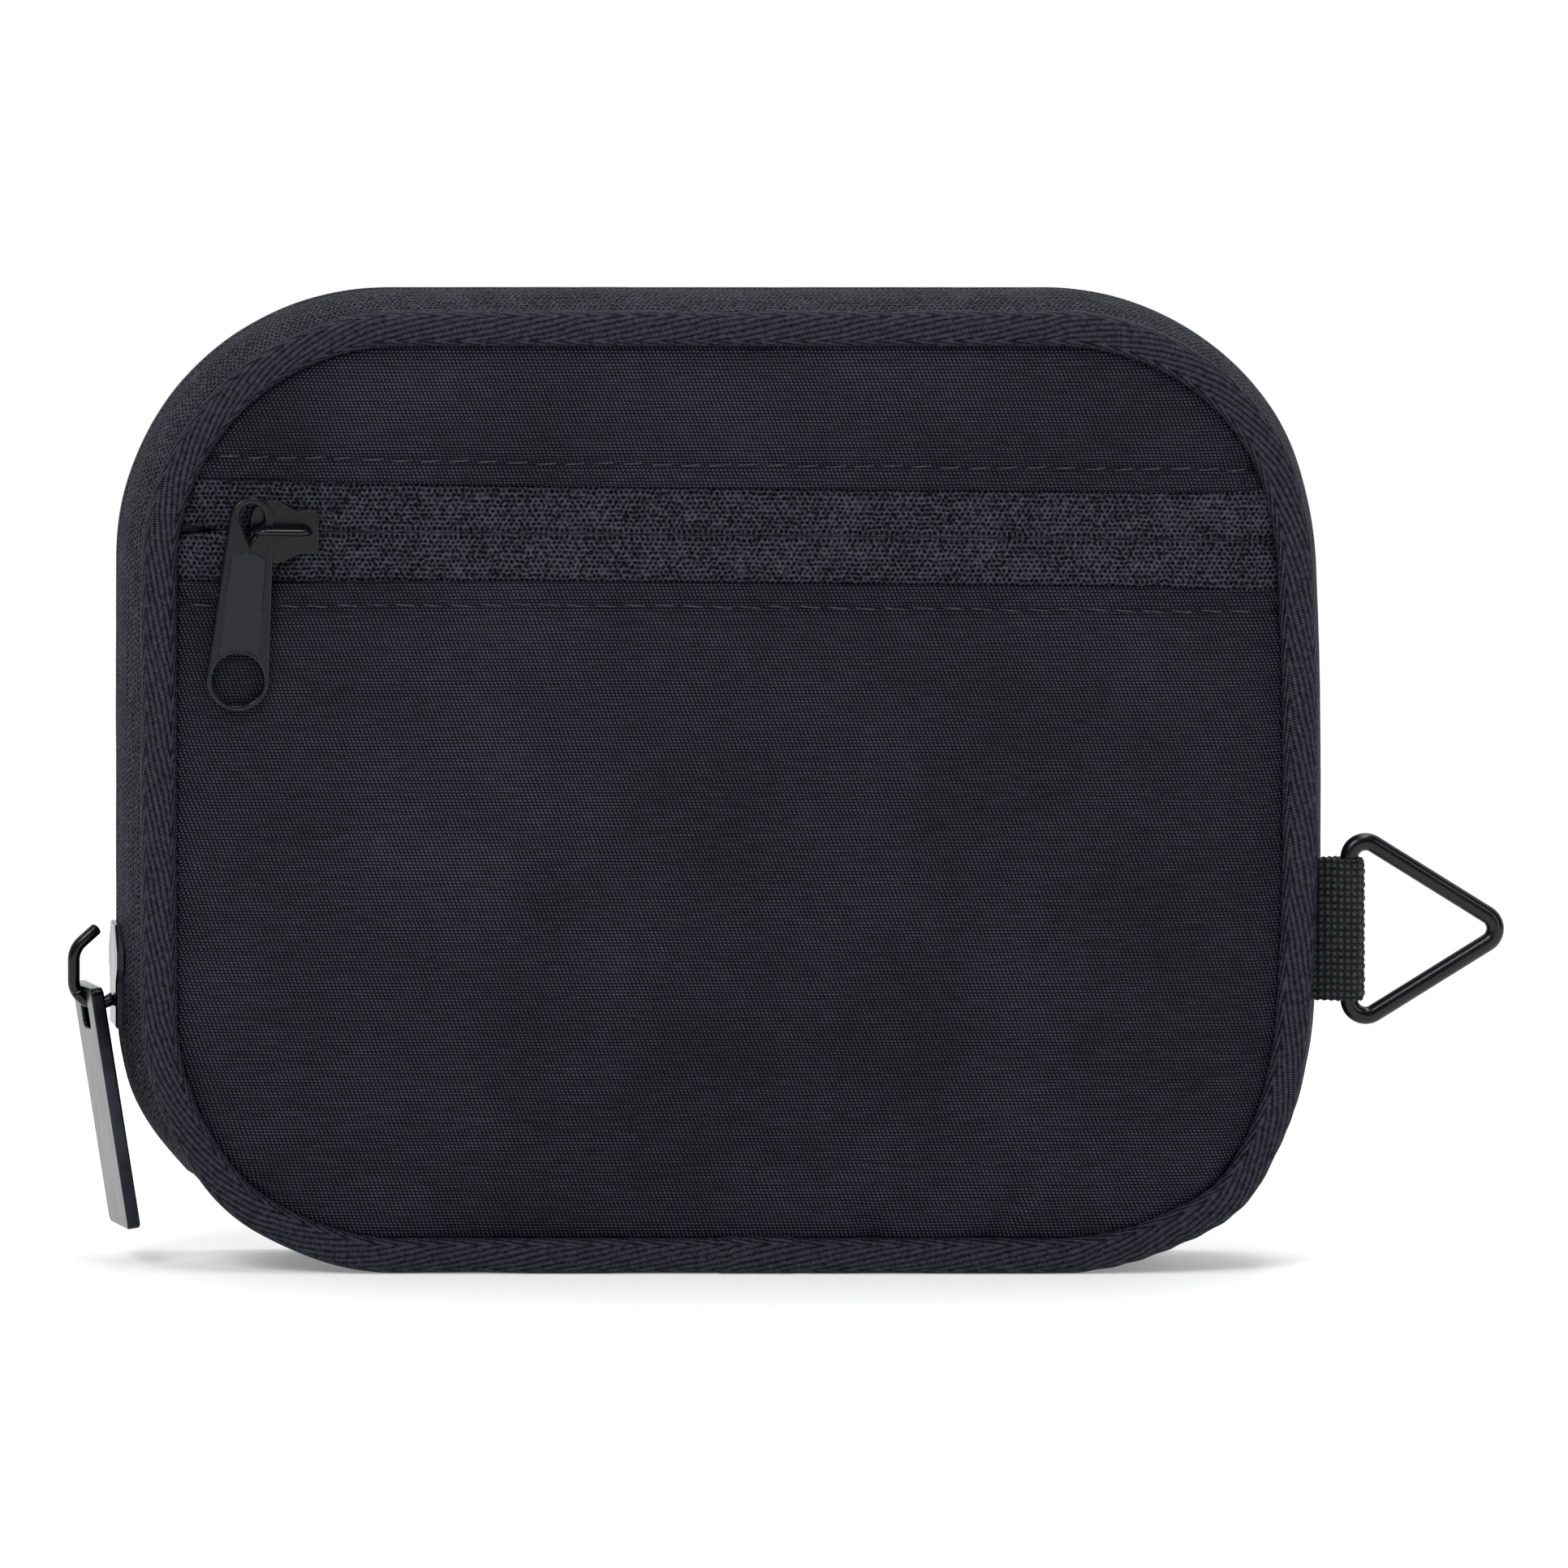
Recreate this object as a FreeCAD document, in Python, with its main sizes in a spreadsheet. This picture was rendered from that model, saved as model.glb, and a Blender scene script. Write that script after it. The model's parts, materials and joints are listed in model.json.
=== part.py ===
"""Zip-around padded fabric pouch with a zipped front pocket, built as a parametric document.

Frame: +Z up, +X to the side with the triangle ring, the front face towards -Y.
The origin is the centre of the base, on the surface that the pouch stands on. Millimetres.
"""

import FreeCAD, Part
import math
import os

import Sketcher
from FreeCAD import Placement, Rotation, Vector

SIZES = {
    # body
    "width": 159.0,
    "height": 130.0,
    "depth": 26.0,
    "corner": 35.0,
    "tilt": 0.56,  # degrees that the pocket zip drops towards +X
    "parting": 0.3,  # gap between the two halves of the closed main zip
    # sewn layers
    "cloth": 0.6,
    "lining": 0.4,
    "foam": 2.4,
    "binding_wide": 4.8,
    "binding_deep": 3.2,
    "binding_round": 1.4,
    "panel_inset": 4.9,
    "pocket_depth": 2.9,
    # main zip
    "tape": 0.5,
    "tape_inset": 0.8,
    "tape_bulge": 1.5,
    "zip_end": 13.0,  # height of the zip's two ends above the base
    "coil_inset": -0.55,
    "coil_thick": 1.45,
    "coil_wide": 1.4,
    "stop_high": 1.6,
    # pocket zip
    "band_middle": 99.7,
    "band_wide": 13.1,
    "hem_wide": 4.0,
    "pocket_tape": 0.5,
    "pocket_coil_thick": 1.1,
    "pocket_coil_wide": 1.3,
    # sliders and pulls
    "web": 0.2,
    "slider_play": 0.25,  # room between a slider's two plates and what runs through them
    "main_slider_middle": 39.0,
    "main_slider_long": 14.0,
    "main_slider_wide": 10.0,
    "slider_plate": 0.9,
    "hook_wire": 0.82,
    "hook_reach": 6.3,
    "hook_bend": 1.9,
    "hook_foot": 2.2,  # the hook's foot above the slider's lower end
    "hook_mouth": 10.8,  # the hook's tip above its foot
    "main_pull_long": 33.0,
    "main_pull_wide": 11.0,
    "main_pull_thick": 1.5,
    "main_pull_lean": 6.2,
    "main_pull_head": 2.2,  # metal above the point it hangs from
    "main_pull_round": 1.5,
    "main_eye_wide": 3.4,
    "main_eye_high": 5.4,
    "main_eye_above": 0.8,
    "main_eye_round": 1.2,
    "pocket_slider_middle": -60.0,
    "pocket_slider_long": 10.0,
    "pocket_slider_wide": 8.6,
    "pocket_slider_tail": 5.9,
    "pocket_plate": 0.72,
    "pocket_play": 0.2,
    "bail_wide": 1.4,
    "bail_high": 3.1,
    "bail_bend": 1.0,
    "pull_eye": 3.0,
    "pull_end": 4.25,
    "pull_span": 21.7,
    "pull_thick": 1.2,
    "pull_hole": 3.55,
    "pull_slot": 1.7,
    "pull_slot_above": 0.4,
    "pull_slot_below": 2.0,
    "field_top": 5.3,  # the sunk field's two ends, below the eye
    "field_foot": 15.5,
    "field_rim": 0.9,
    "field_deep": 0.25,
    "pull_lean": 5.0,
    "pull_lift": 1.1,  # how far the eye's centre sits above the bail's leg
    # side tab and ring
    "webbing": 19.2,
    "webbing_thick": 1.3,
    "ring_wire": 1.2,
    "ring_bend": 1.3,
    "ring_half_base": 12.8,
    "ring_reach": 20.9,
    "ring_height": 46.2,
    "bar_out": 4.7,
    "bore_gap": 0.05,
}

doc = FreeCAD.newDocument("pouch")
sheet = doc.addObject("Spreadsheet::Sheet", "Sizes")
for row, (word, number) in enumerate(SIZES.items(), start=1):
    sheet.set(f"A{row}", word)
    sheet.set(f"B{row}", str(number))
    sheet.setAlias(f"B{row}", word)
doc.recompute()

FAR = 400.0  # longer than the pouch, for tools that cut right through
RUNNING_GAP = 0.1  # between a metal part and what it slides or swings over
WELD = 0.05  # overlap or gap that keeps two shapes from sharing a face
parts = []


def size(word):
    return float(sheet.get(word))


HALF_WIDTH = size("width") / 2
HALF_DEPTH = size("depth") / 2
SEAM = HALF_DEPTH - size("binding_deep")  # where the gusset meets each binding
HALF_PARTING = size("parting") / 2
POCKET_FLOOR = HALF_DEPTH - size("cloth") - size("pocket_depth")


def keep(thing, name):
    """Registers a finished sub-part under the name of its node."""
    thing.Label = name
    parts.append(thing)
    return thing


def new_body(name):
    return doc.addObject("PartDesign::Body", name + "_body")


def plane_of(body, role):
    return next(f for f in body.Origin.OriginFeatures if f.Role == role)


def sketch_on(body, name, role="XZ_Plane"):
    sketch = body.newObject("Sketcher::SketchObject", name)
    sketch.AttachmentSupport = [(plane_of(body, role), "")]
    sketch.MapMode = "FlatFace"
    return sketch


def draw_outline(sketch, inset):
    """A rounded rectangle, the pouch's outline moved inwards by an expression, sized from the sheet."""
    step = float(sheet.get(inset)) if inset in SIZES else float(inset)
    half = HALF_WIDTH - step
    low = step
    high = size("height") - step
    bend = size("corner") - step
    flat = half - bend
    first = sketch.GeometryCount
    up = Vector(0, 0, 1)

    def corner(x, z, start):
        circle = Part.Circle(Vector(x, z), up, bend)
        sketch.addGeometry(Part.ArcOfCircle(circle, start, start + math.pi / 2))

    sketch.addGeometry(Part.LineSegment(Vector(-flat, low), Vector(flat, low)))
    corner(flat, low + bend, -math.pi / 2)
    sketch.addGeometry(Part.LineSegment(Vector(half, low + bend), Vector(half, high - bend)))
    corner(flat, high - bend, 0)
    sketch.addGeometry(Part.LineSegment(Vector(flat, high), Vector(-flat, high)))
    corner(-flat, high - bend, math.pi / 2)
    sketch.addGeometry(Part.LineSegment(Vector(-half, high - bend), Vector(-half, low + bend)))
    corner(-flat, low + bend, math.pi)
    for edge in range(8):
        sketch.addConstraint(Sketcher.Constraint("Tangent", first + edge, 2, first + (edge + 1) % 8, 1))
    sketch.addConstraint(Sketcher.Constraint("Vertical", first + 2))
    sketch.addConstraint(Sketcher.Constraint("Horizontal", first + 4))
    sketch.addConstraint(Sketcher.Constraint("Vertical", first + 6))
    for arc in (3, 5, 7):
        sketch.addConstraint(Sketcher.Constraint("Equal", first + 1, first + arc))
    sketch.addConstraint(Sketcher.Constraint("Symmetric", first, 1, first, 2, -2))
    inset_text = f"<<Sizes>>.{inset}" if inset in SIZES else str(step)
    rules = [
        (
            Sketcher.Constraint("DistanceX", first + 5, 2, first + 2, 1, 2 * half),
            f"<<Sizes>>.width - 2 * ({inset_text})",
        ),
        (Sketcher.Constraint("DistanceY", -1, 1, first, 1, low), inset_text),
        (Sketcher.Constraint("DistanceY", -1, 1, first + 4, 1, high), f"<<Sizes>>.height - ({inset_text})"),
        (Sketcher.Constraint("Radius", first + 1, bend), f"<<Sizes>>.corner - ({inset_text})"),
    ]
    for rule, text in rules:
        if step == 0 and rule.Type == "DistanceY" and rule.Second == first:
            sketch.addConstraint(Sketcher.Constraint("PointOnObject", first, 1, -1))
            continue
        index = sketch.addConstraint(rule)
        sketch.setExpression(f"Constraints[{index}]", text)


def outline_plate(name, inset, thick, back_face, hole_inset=None):
    """A body with the pouch's outline, its back face at the depth given. A second inset makes it a ring."""
    body = new_body(name)
    sketch = sketch_on(body, name + "_outline")
    draw_outline(sketch, inset)
    if hole_inset is not None:
        draw_outline(sketch, hole_inset)
    pad = body.newObject("PartDesign::Pad", name + "_pad")
    pad.Profile = sketch
    if thick in SIZES:
        pad.setExpression("Length", f"<<Sizes>>.{thick}")
    else:
        pad.Length = thick
    body.Placement = Placement(Vector(0, back_face, 0), Rotation())
    doc.recompute()
    return body


def box(name, low, high, turn=None):
    """A Part::Box between two corners, turned if asked about the middle of the pocket zip."""
    block = doc.addObject("Part::Box", name)
    block.Length, block.Width, block.Height = (high[i] - low[i] for i in range(3))
    place = Placement(Vector(*low), Rotation())
    if turn is not None:
        place = turn.multiply(place)
    block.Placement = place
    return block


def combine(kind, name, base, tool):
    thing = doc.addObject("Part::" + kind, name)
    thing.Base = base
    thing.Tool = tool
    return thing


def feature(name, shape, place=None):
    thing = doc.addObject("Part::Feature", name)
    thing.Shape = shape
    if place is not None:
        thing.Placement = place
    return thing


# The pocket zip runs a little downhill, so its parts turn together about the middle of the band.
BAND_TURN = Placement(
    Vector(0, 0, 0), Rotation(Vector(0, 1, 0), size("tilt")), Vector(0, 0, size("band_middle"))
)


def band_box(name, x_low, x_high, y_low, y_high, up_low, up_high):
    """A box measured up from the middle line of the pocket zip, and tilted with it."""
    middle = size("band_middle")
    return box(name, (x_low, y_low, middle + up_low), (x_high, y_high, middle + up_high), BAND_TURN)


def front_panels():
    """Two panels of outer cloth, above and below the pocket zip."""
    half_band = size("band_wide") / 2
    for name, up_low, up_high in (
        ("front_upper_panel", half_band, FAR),
        ("front_lower_panel", -FAR, -half_band),
    ):
        plate = outline_plate(name + "_sheet", "panel_inset", "cloth", -HALF_DEPTH + size("cloth"))
        cutter = band_box(name + "_side", -FAR, FAR, -FAR, FAR, up_low, up_high)
        keep(combine("Common", name, plate, cutter), name)


def pocket_zip():
    """Two woven tapes, each with its coil on the inner side, cut to the panel's outline."""
    outer = -HALF_DEPTH + size("cloth") + 0.1
    inner = outer + size("pocket_tape")
    half_band = size("band_wide") / 2
    for side, name in ((1, "upper"), (-1, "lower")):
        far_edge = side * (half_band + size("hem_wide"))
        near_edge = side * HALF_PARTING
        coil_edge = side * (HALF_PARTING + size("pocket_coil_wide"))
        for piece, edge, thick, back_face in (
            ("pocket_tape_" + name, far_edge, "pocket_tape", inner),
            ("pocket_coil_" + name, coil_edge, "pocket_coil_thick", inner + size("pocket_coil_thick")),
        ):
            low, high = sorted((edge, near_edge))
            strip = band_box(piece + "_strip", -FAR, FAR, -FAR, FAR, low, high)
            plate = outline_plate(piece + "_sheet", "panel_inset", thick, back_face)
            keep(combine("Common", piece, plate, strip), piece)


def outer_layers():
    """The rest of the sewn stack: pocket backing, foam, linings, back cloth and the two bindings."""
    inset = "panel_inset"
    foam_face = POCKET_FLOOR - size("lining") - 0.1
    keep(outline_plate("pocket_backing", inset, "lining", -POCKET_FLOOR + size("lining")), "pocket_backing")
    keep(outline_plate("front_foam", inset, "foam", -foam_face + size("foam")), "front_foam")
    front_lining_back = -foam_face + size("foam") + 0.1 + size("lining")
    keep(outline_plate("front_lining", inset, "lining", front_lining_back), "front_lining")
    keep(outline_plate("back_panel", inset, "cloth", HALF_DEPTH), "back_panel")
    back_foam_back = HALF_DEPTH - size("cloth") - 0.1
    keep(outline_plate("back_foam", inset, "foam", back_foam_back), "back_foam")
    back_lining_back = back_foam_back - size("foam") - 0.1
    keep(outline_plate("back_lining", inset, "lining", back_lining_back), "back_lining")
    for name, back_face, outer_face in (
        ("front_binding", -SEAM, -HALF_DEPTH),
        ("back_binding", HALF_DEPTH, HALF_DEPTH),
    ):
        body = outline_plate(name, "0", "binding_deep", back_face, "binding_wide")
        pad = body.Tip
        round_over = body.newObject("PartDesign::Fillet", name + "_roll")
        local_face = outer_face - back_face
        names = [
            f"Edge{i}"
            for i, edge in enumerate(pad.Shape.Edges, start=1)
            if abs(edge.BoundBox.YMin - local_face) < 0.01 and abs(edge.BoundBox.YMax - local_face) < 0.01
        ]
        round_over.Base = (pad, names)
        round_over.setExpression("Radius", "<<Sizes>>.binding_round")
        keep(body, name)


def outline_loft(name, inset_seam, inset_chain, side):
    """A solid between two outlines, one at the binding's seam and one beside the chain."""
    sections = []
    for tag, inset, y in (("seam", inset_seam, side * SEAM), ("chain", inset_chain, side * HALF_PARTING)):
        sketch = doc.addObject("Sketcher::SketchObject", f"{name}_{tag}")
        sketch.Placement = Placement(Vector(0, y, 0), Rotation(Vector(1, 0, 0), 90))
        draw_outline(sketch, str(inset))
        sections.append(sketch)
    loft = doc.addObject("Part::Loft", name)
    loft.Sections = sections
    loft.Solid = True
    loft.Ruled = True
    return loft


def main_zip():
    """The gusset's two tape halves with their coils, round the left side, the top and the right side."""
    thick = size("tape")
    for side, half in ((-1, "front"), (1, "back")):
        name = half + "_gusset_tape"
        outer = outline_loft(name + "_outer", size("tape_inset"), -size("tape_bulge"), side)
        inner = outline_loft(name + "_inner", size("tape_inset") + thick, -size("tape_bulge") + thick, side)
        tube = combine("Cut", name + "_tube", outer, inner)
        below = box(name + "_below", (-FAR, -FAR, -FAR), (FAR, FAR, size("zip_end")))
        keep(combine("Cut", name, tube, below), name)
        name = half + "_gusset_coil"
        back_face = -HALF_PARTING if side < 0 else HALF_PARTING + size("coil_wide")
        coil_inner = str(size("coil_inset") + size("coil_thick"))
        ring = outline_plate(name + "_ring", str(size("coil_inset")), "coil_wide", back_face, coil_inner)
        below = box(name + "_below", (-FAR, -FAR, -FAR), (FAR, FAR, size("zip_end") + size("stop_high")))
        keep(combine("Cut", name, ring, below), name)


def bottom_gusset():
    """The strip that joins the two halves: outer cloth flush with the bindings, and its lining."""
    end = size("zip_end") - 0.3
    span = 2 * SEAM - 2 * HALF_PARTING
    for name, outer, inner in (
        ("bottom_gusset", 0.0, size("cloth")),
        ("bottom_gusset_lining", size("cloth") + 0.1, size("cloth") + 0.1 + size("lining")),
    ):
        body = outline_plate(name + "_ring", str(outer), span, span / 2, str(inner))
        above = box(name + "_above", (-FAR, -FAR, end), (FAR, FAR, FAR))
        keep(combine("Cut", name, body, above), name)


def slider_plan(long, wide, tail):
    """The outline of a slider's plate, nose up: broad shoulders that step in to a straight tail."""
    top = long / 2
    nose = wide / 4
    shoulder_high = long / 4
    shoulder_low = long / 12
    neck = -long / 16
    corners = [
        (nose, top),
        (wide / 2, shoulder_high),
        (wide / 2, shoulder_low),
        (tail / 2, neck),
        (tail / 2, -top),
    ]
    points = [Vector(x, y, 0) for x, y in corners]
    points += [Vector(-p.x, p.y, 0) for p in reversed(points)]
    return Part.Face(Part.makePolygon(points + points[:1]))


def slider_shape(long, wide, tail, plate, gap):
    """Outer plate, inner plate and the web between them. Local z = 0 is the outer plate's underside."""
    face = slider_plan(long, wide, tail)
    outer = face.extrude(Vector(0, 0, plate))
    top_edges = [e for e in outer.Edges if e.BoundBox.ZMin > plate / 2]
    outer = outer.makeFillet(plate * 0.4, top_edges)
    inner = face.extrude(Vector(0, 0, plate))
    inner.translate(Vector(0, 0, -gap - plate))
    web_long = long * 0.3
    web_start = long / 8
    corner = Vector(-size("web") / 2, web_start, -gap - plate / 2)
    web = Part.makeBox(size("web"), web_long, gap + plate, corner)
    return outer.fuse([web, inner]).removeSplitter()


def rounded_wire(points, bend):
    """A path through the points whose inner corners are arcs of the radius given."""
    edges = []
    start = points[0]
    for before, corner, after in zip(points, points[1:], points[2:]):
        back = (before - corner).normalize()
        ahead = (after - corner).normalize()
        half = back.getAngle(ahead) / 2
        cut = bend / math.tan(half)
        middle = (back + ahead).normalize() * (bend / math.sin(half))
        first = corner + back * cut
        last = corner + ahead * cut
        top = corner + middle - (middle * (bend / middle.Length))
        edges.append(Part.LineSegment(start, first).toShape())
        edges.append(Part.Arc(first, top, last).toShape())
        start = last
    edges.append(Part.LineSegment(start, points[-1]).toShape())
    return Part.Wire(edges)


def rod(wire, radius):
    """A round rod along a wire."""
    start = wire.Edges[0].firstVertex().Point
    direction = wire.Edges[0].tangentAt(wire.Edges[0].FirstParameter)
    section = Part.Wire(Part.makeCircle(radius, start, direction))
    return wire.makePipeShell([section], True, True)


def main_slider():
    """The gusset zip's slider on its straight run at -X, with an open hook in place of a closed bail."""
    chain_out = HALF_WIDTH + size("tape_bulge")
    gap = size("tape_bulge") + size("coil_inset") + size("coil_thick") + size("slider_play")
    long = size("main_slider_long")
    wide = size("main_slider_wide")
    middle = size("main_slider_middle")
    shape = slider_shape(long, wide, 0.72 * wide, size("slider_plate"), gap)
    # local x along Y, local y up, local z out of the gusset
    turn = Rotation(Vector(0, -1, 0), Vector(0, 0, 1), Vector(-1, 0, 0), "ZXY")
    underside = -chain_out - RUNNING_GAP
    place = Placement(Vector(underside, 0, middle), turn)
    keep(feature("main_slider_body", shape, place), "main_slider_body")

    plate_face = underside - size("slider_plate")
    wire = size("hook_wire")
    foot = middle - long / 2 + size("hook_foot")
    out = plate_face - size("hook_reach") + wire
    bend = size("hook_bend")
    mouth = foot + size("hook_mouth")
    root = Vector(plate_face + WELD, 0, foot + 1.2)
    low = Vector(plate_face - 2.6, 0, foot - 1.4)
    heel = Vector(out, 0, foot + bend)
    shoulder = Vector(out, 0, mouth - 2.8)
    tip = Vector(plate_face - bend, 0, mouth)
    path = rounded_wire([root, low, heel, shoulder, tip], bend)
    keep(feature("main_slider_hook", rod(path, wire)), "main_slider_hook")
    clear_of_hook = size("main_pull_thick") / 2 + 0.45
    return Vector(out + wire + clear_of_hook, 0, foot + 1.1)


def edges_along_x(shape):
    return [e for e in shape.Edges if abs(e.tangentAt(e.FirstParameter).x) > 0.999]


def main_pull(pivot):
    """A flat metal plate that hangs on the hook by its eye, leaning towards the pouch's corner."""
    wide = size("main_pull_wide")
    thick = size("main_pull_thick")
    long = size("main_pull_long")
    foot = size("main_pull_head") - long
    plate = Part.makeBox(thick, wide, long, Vector(-thick / 2, -wide / 2, foot))
    plate = plate.makeFillet(size("main_pull_round"), edges_along_x(plate))
    eye_wide = size("main_eye_wide")
    eye_high = size("main_eye_high")
    eye_low = size("main_eye_above") - eye_high
    eye = Part.makeBox(FAR, eye_wide, eye_high, Vector(-FAR / 2, -eye_wide / 2, eye_low))
    eye = eye.makeFillet(size("main_eye_round"), edges_along_x(eye))
    shape = plate.cut(eye)
    lean = Rotation(Vector(0, 1, 0), -size("main_pull_lean"))
    keep(feature("main_pull", shape, Placement(pivot, lean)), "main_pull")


def pocket_slider():
    """The pocket zip's slider, nose towards -X, its plates either side of the tapes and coils."""
    long = size("pocket_slider_long")
    plate = size("pocket_plate")
    gap = size("pocket_tape") + size("pocket_coil_thick") + size("pocket_play")
    shape = slider_shape(long, size("pocket_slider_wide"), size("pocket_slider_tail"), plate, gap)
    underside = -HALF_DEPTH + size("cloth")
    turn = Rotation(Vector(0, 0, 1), Vector(-1, 0, 0), Vector(0, -1, 0), "ZXY")
    x = size("pocket_slider_middle")
    place = BAND_TURN.multiply(Placement(Vector(x, underside, size("band_middle")), turn))
    keep(feature("pocket_slider_body", shape, place), "pocket_slider_body")

    face = underside - plate
    z = size("band_middle")
    start = x - 0.42 * long
    end = x + 0.40 * long
    root = face + plate * 0.4
    top = face - size("bail_high")
    corners = [(start, root), (start, top), (end, top), (end, root)]
    path = rounded_wire([Vector(x, y, z) for x, y in corners], size("bail_bend"))
    bail = rod(path, size("bail_wide") / 2)
    keep(feature("pocket_slider_bail", bail, BAND_TURN), "pocket_slider_bail")
    return BAND_TURN.multVec(Vector(start, face, z))


def pull_sketch(body):
    """Two round ends joined by straight sides, a slot for the bail and a round hole in the broad end."""
    sketch = sketch_on(body, "pocket_pull_outline")
    eye, end, span = size("pull_eye"), size("pull_end"), size("pull_span")
    lean = math.asin((end - eye) / span)
    up = Vector(0, 0, 1)
    centre = Vector(0, -span, 0)
    side = Vector(math.cos(lean), math.sin(lean), 0)
    mirror = Vector(-side.x, side.y, 0)
    sketch.addGeometry(Part.ArcOfCircle(Part.Circle(Vector(0, 0, 0), up, eye), lean, math.pi - lean))
    sketch.addGeometry(Part.LineSegment(mirror * eye, centre + mirror * end))
    sketch.addGeometry(Part.ArcOfCircle(Part.Circle(centre, up, end), math.pi - lean, 2 * math.pi + lean))
    sketch.addGeometry(Part.LineSegment(centre + side * end, side * eye))
    for edge in range(4):
        sketch.addConstraint(Sketcher.Constraint("Tangent", edge, 2, (edge + 1) % 4, 1))
    slot = size("pull_slot")
    high = size("pull_slot_above")
    low = -size("pull_slot_below")
    sketch.addGeometry(Part.ArcOfCircle(Part.Circle(Vector(0, high, 0), up, slot), 0, math.pi))
    sketch.addGeometry(Part.LineSegment(Vector(-slot, high, 0), Vector(-slot, low, 0)))
    sketch.addGeometry(Part.ArcOfCircle(Part.Circle(Vector(0, low, 0), up, slot), math.pi, 2 * math.pi))
    sketch.addGeometry(Part.LineSegment(Vector(slot, low, 0), Vector(slot, high, 0)))
    sketch.addGeometry(Part.Circle(centre, up, size("pull_hole")))
    rules = [
        (Sketcher.Constraint("Radius", 0, eye), "<<Sizes>>.pull_eye"),
        (Sketcher.Constraint("Radius", 2, end), "<<Sizes>>.pull_end"),
        (Sketcher.Constraint("DistanceY", 2, 3, 0, 3, span), "<<Sizes>>.pull_span"),
        (Sketcher.Constraint("Radius", 8, size("pull_hole")), "<<Sizes>>.pull_hole"),
    ]
    for rule, text in rules:
        index = sketch.addConstraint(rule)
        sketch.setExpression(f"Constraints[{index}]", text)
    return sketch


def pocket_pull(pivot):
    """The long flat puller of the pocket zip, hung on the bail's leg, with a sunk satin field."""
    body = new_body("pocket_pull")
    pad = body.newObject("PartDesign::Pad", "pocket_pull_pad")
    pad.Profile = pull_sketch(body)
    pad.setExpression("Length", "<<Sizes>>.pull_thick")
    doc.recompute()
    field = sketch_on(body, "pocket_pull_field")
    field.AttachmentOffset = Placement(Vector(0, 0, size("pull_thick")), Rotation())
    spread = (size("pull_end") - size("pull_eye")) / size("pull_span")
    half_top = size("pull_eye") + spread * size("field_top") - size("field_rim")
    half_foot = size("pull_eye") + spread * size("field_foot") - size("field_rim")
    corners = [
        Vector(-half_top, -size("field_top"), 0),
        Vector(half_top, -size("field_top"), 0),
        Vector(half_foot, -size("field_foot"), 0),
        Vector(-half_foot, -size("field_foot"), 0),
    ]
    for first, last in zip(corners, corners[1:] + corners[:1]):
        field.addGeometry(Part.LineSegment(first, last))
    doc.recompute()
    sunk = body.newObject("PartDesign::Pocket", "pocket_pull_sunk")
    sunk.Profile = field
    sunk.setExpression("Length", "<<Sizes>>.field_deep")
    doc.recompute()
    lean = Rotation(Vector(0, 1, 0), size("pull_lean"))
    body.Placement = Placement(pivot + Vector(0, -RUNNING_GAP, size("pull_lift")), lean)
    keep(body, "pocket_pull")


def side_tab():
    """A folded webbing loop on the front seam at +X, with the triangle ring's bar inside its fold."""
    bar_x = HALF_WIDTH + size("bar_out")
    bar_y = -SEAM + size("webbing_thick")
    loop = size("ring_wire") + size("bore_gap")
    low = size("ring_height") - size("webbing") / 2
    outer = doc.addObject("Part::Cylinder", "tab_outer")
    outer.setExpression("Radius", "<<Sizes>>.ring_wire + <<Sizes>>.bore_gap + <<Sizes>>.webbing_thick")
    outer.setExpression("Height", "<<Sizes>>.webbing")
    outer.Placement = Placement(Vector(bar_x, bar_y, low), Rotation())
    neck_end = (bar_x, -SEAM + 2 * size("webbing_thick"), low + size("webbing"))
    neck = box("tab_neck", (HALF_WIDTH, -SEAM, low), neck_end)
    solid = combine("Fuse", "tab_solid", outer, neck)
    bore = doc.addObject("Part::Cylinder", "tab_bore")
    bore.Radius = loop
    bore.Height = FAR
    bore.Placement = Placement(Vector(bar_x, bar_y, -FAR / 4), Rotation())
    keep(combine("Cut", "webbing_tab", solid, bore), "webbing_tab")

    base = size("ring_half_base")
    height = size("ring_height")
    top = Vector(bar_x, bar_y, height + base)
    tip = Vector(bar_x + size("ring_reach"), bar_y, height)
    bottom = Vector(bar_x, bar_y, height - base)
    start = Vector(bar_x, bar_y, height)
    path = rounded_wire([start, top, tip, bottom, start], size("ring_bend"))
    keep(feature("triangle_ring", rod(path, size("ring_wire"))), "triangle_ring")


def zip_stops():
    """A crimped stop at each end of the gusset zip, on the back half's tape, in line with the coil."""
    inner = str(size("coil_inset") + size("coil_thick"))
    back_face = HALF_PARTING + size("coil_wide")
    ring = outline_plate("main_zip_stops_ring", str(size("coil_inset")), "coil_wide", back_face, inner)
    low = size("zip_end") + WELD
    band = box("main_zip_stops_band", (-FAR, -FAR, low), (FAR, FAR, low + size("stop_high") - 2 * WELD))
    keep(combine("Common", "main_zip_stops", ring, band), "main_zip_stops")


def check_and_write():
    doc.recompute()
    for thing in doc.Objects:
        bad = [state for state in thing.State if state in ("Invalid", "Error")]
        if bad:
            raise RuntimeError(f"{thing.Name} is {bad}")
    for thing in parts:
        if thing.Shape.isNull() or not thing.Shape.isValid():
            raise RuntimeError(f"{thing.Label} has no valid shape")
    os.makedirs("parts", exist_ok=True)
    for thing in parts:
        thing.Shape.exportStep(f"parts/{thing.Label}.step")
        bounds = thing.Shape.BoundBox
        print(f"{thing.Label}: {thing.Shape.Volume:.1f} mm3, {len(thing.Shape.Solids)} solids, "
              f"x {bounds.XMin:.2f} {bounds.XMax:.2f} y {bounds.YMin:.2f} {bounds.YMax:.2f} "
              f"z {bounds.ZMin:.2f} {bounds.ZMax:.2f}")


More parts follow.
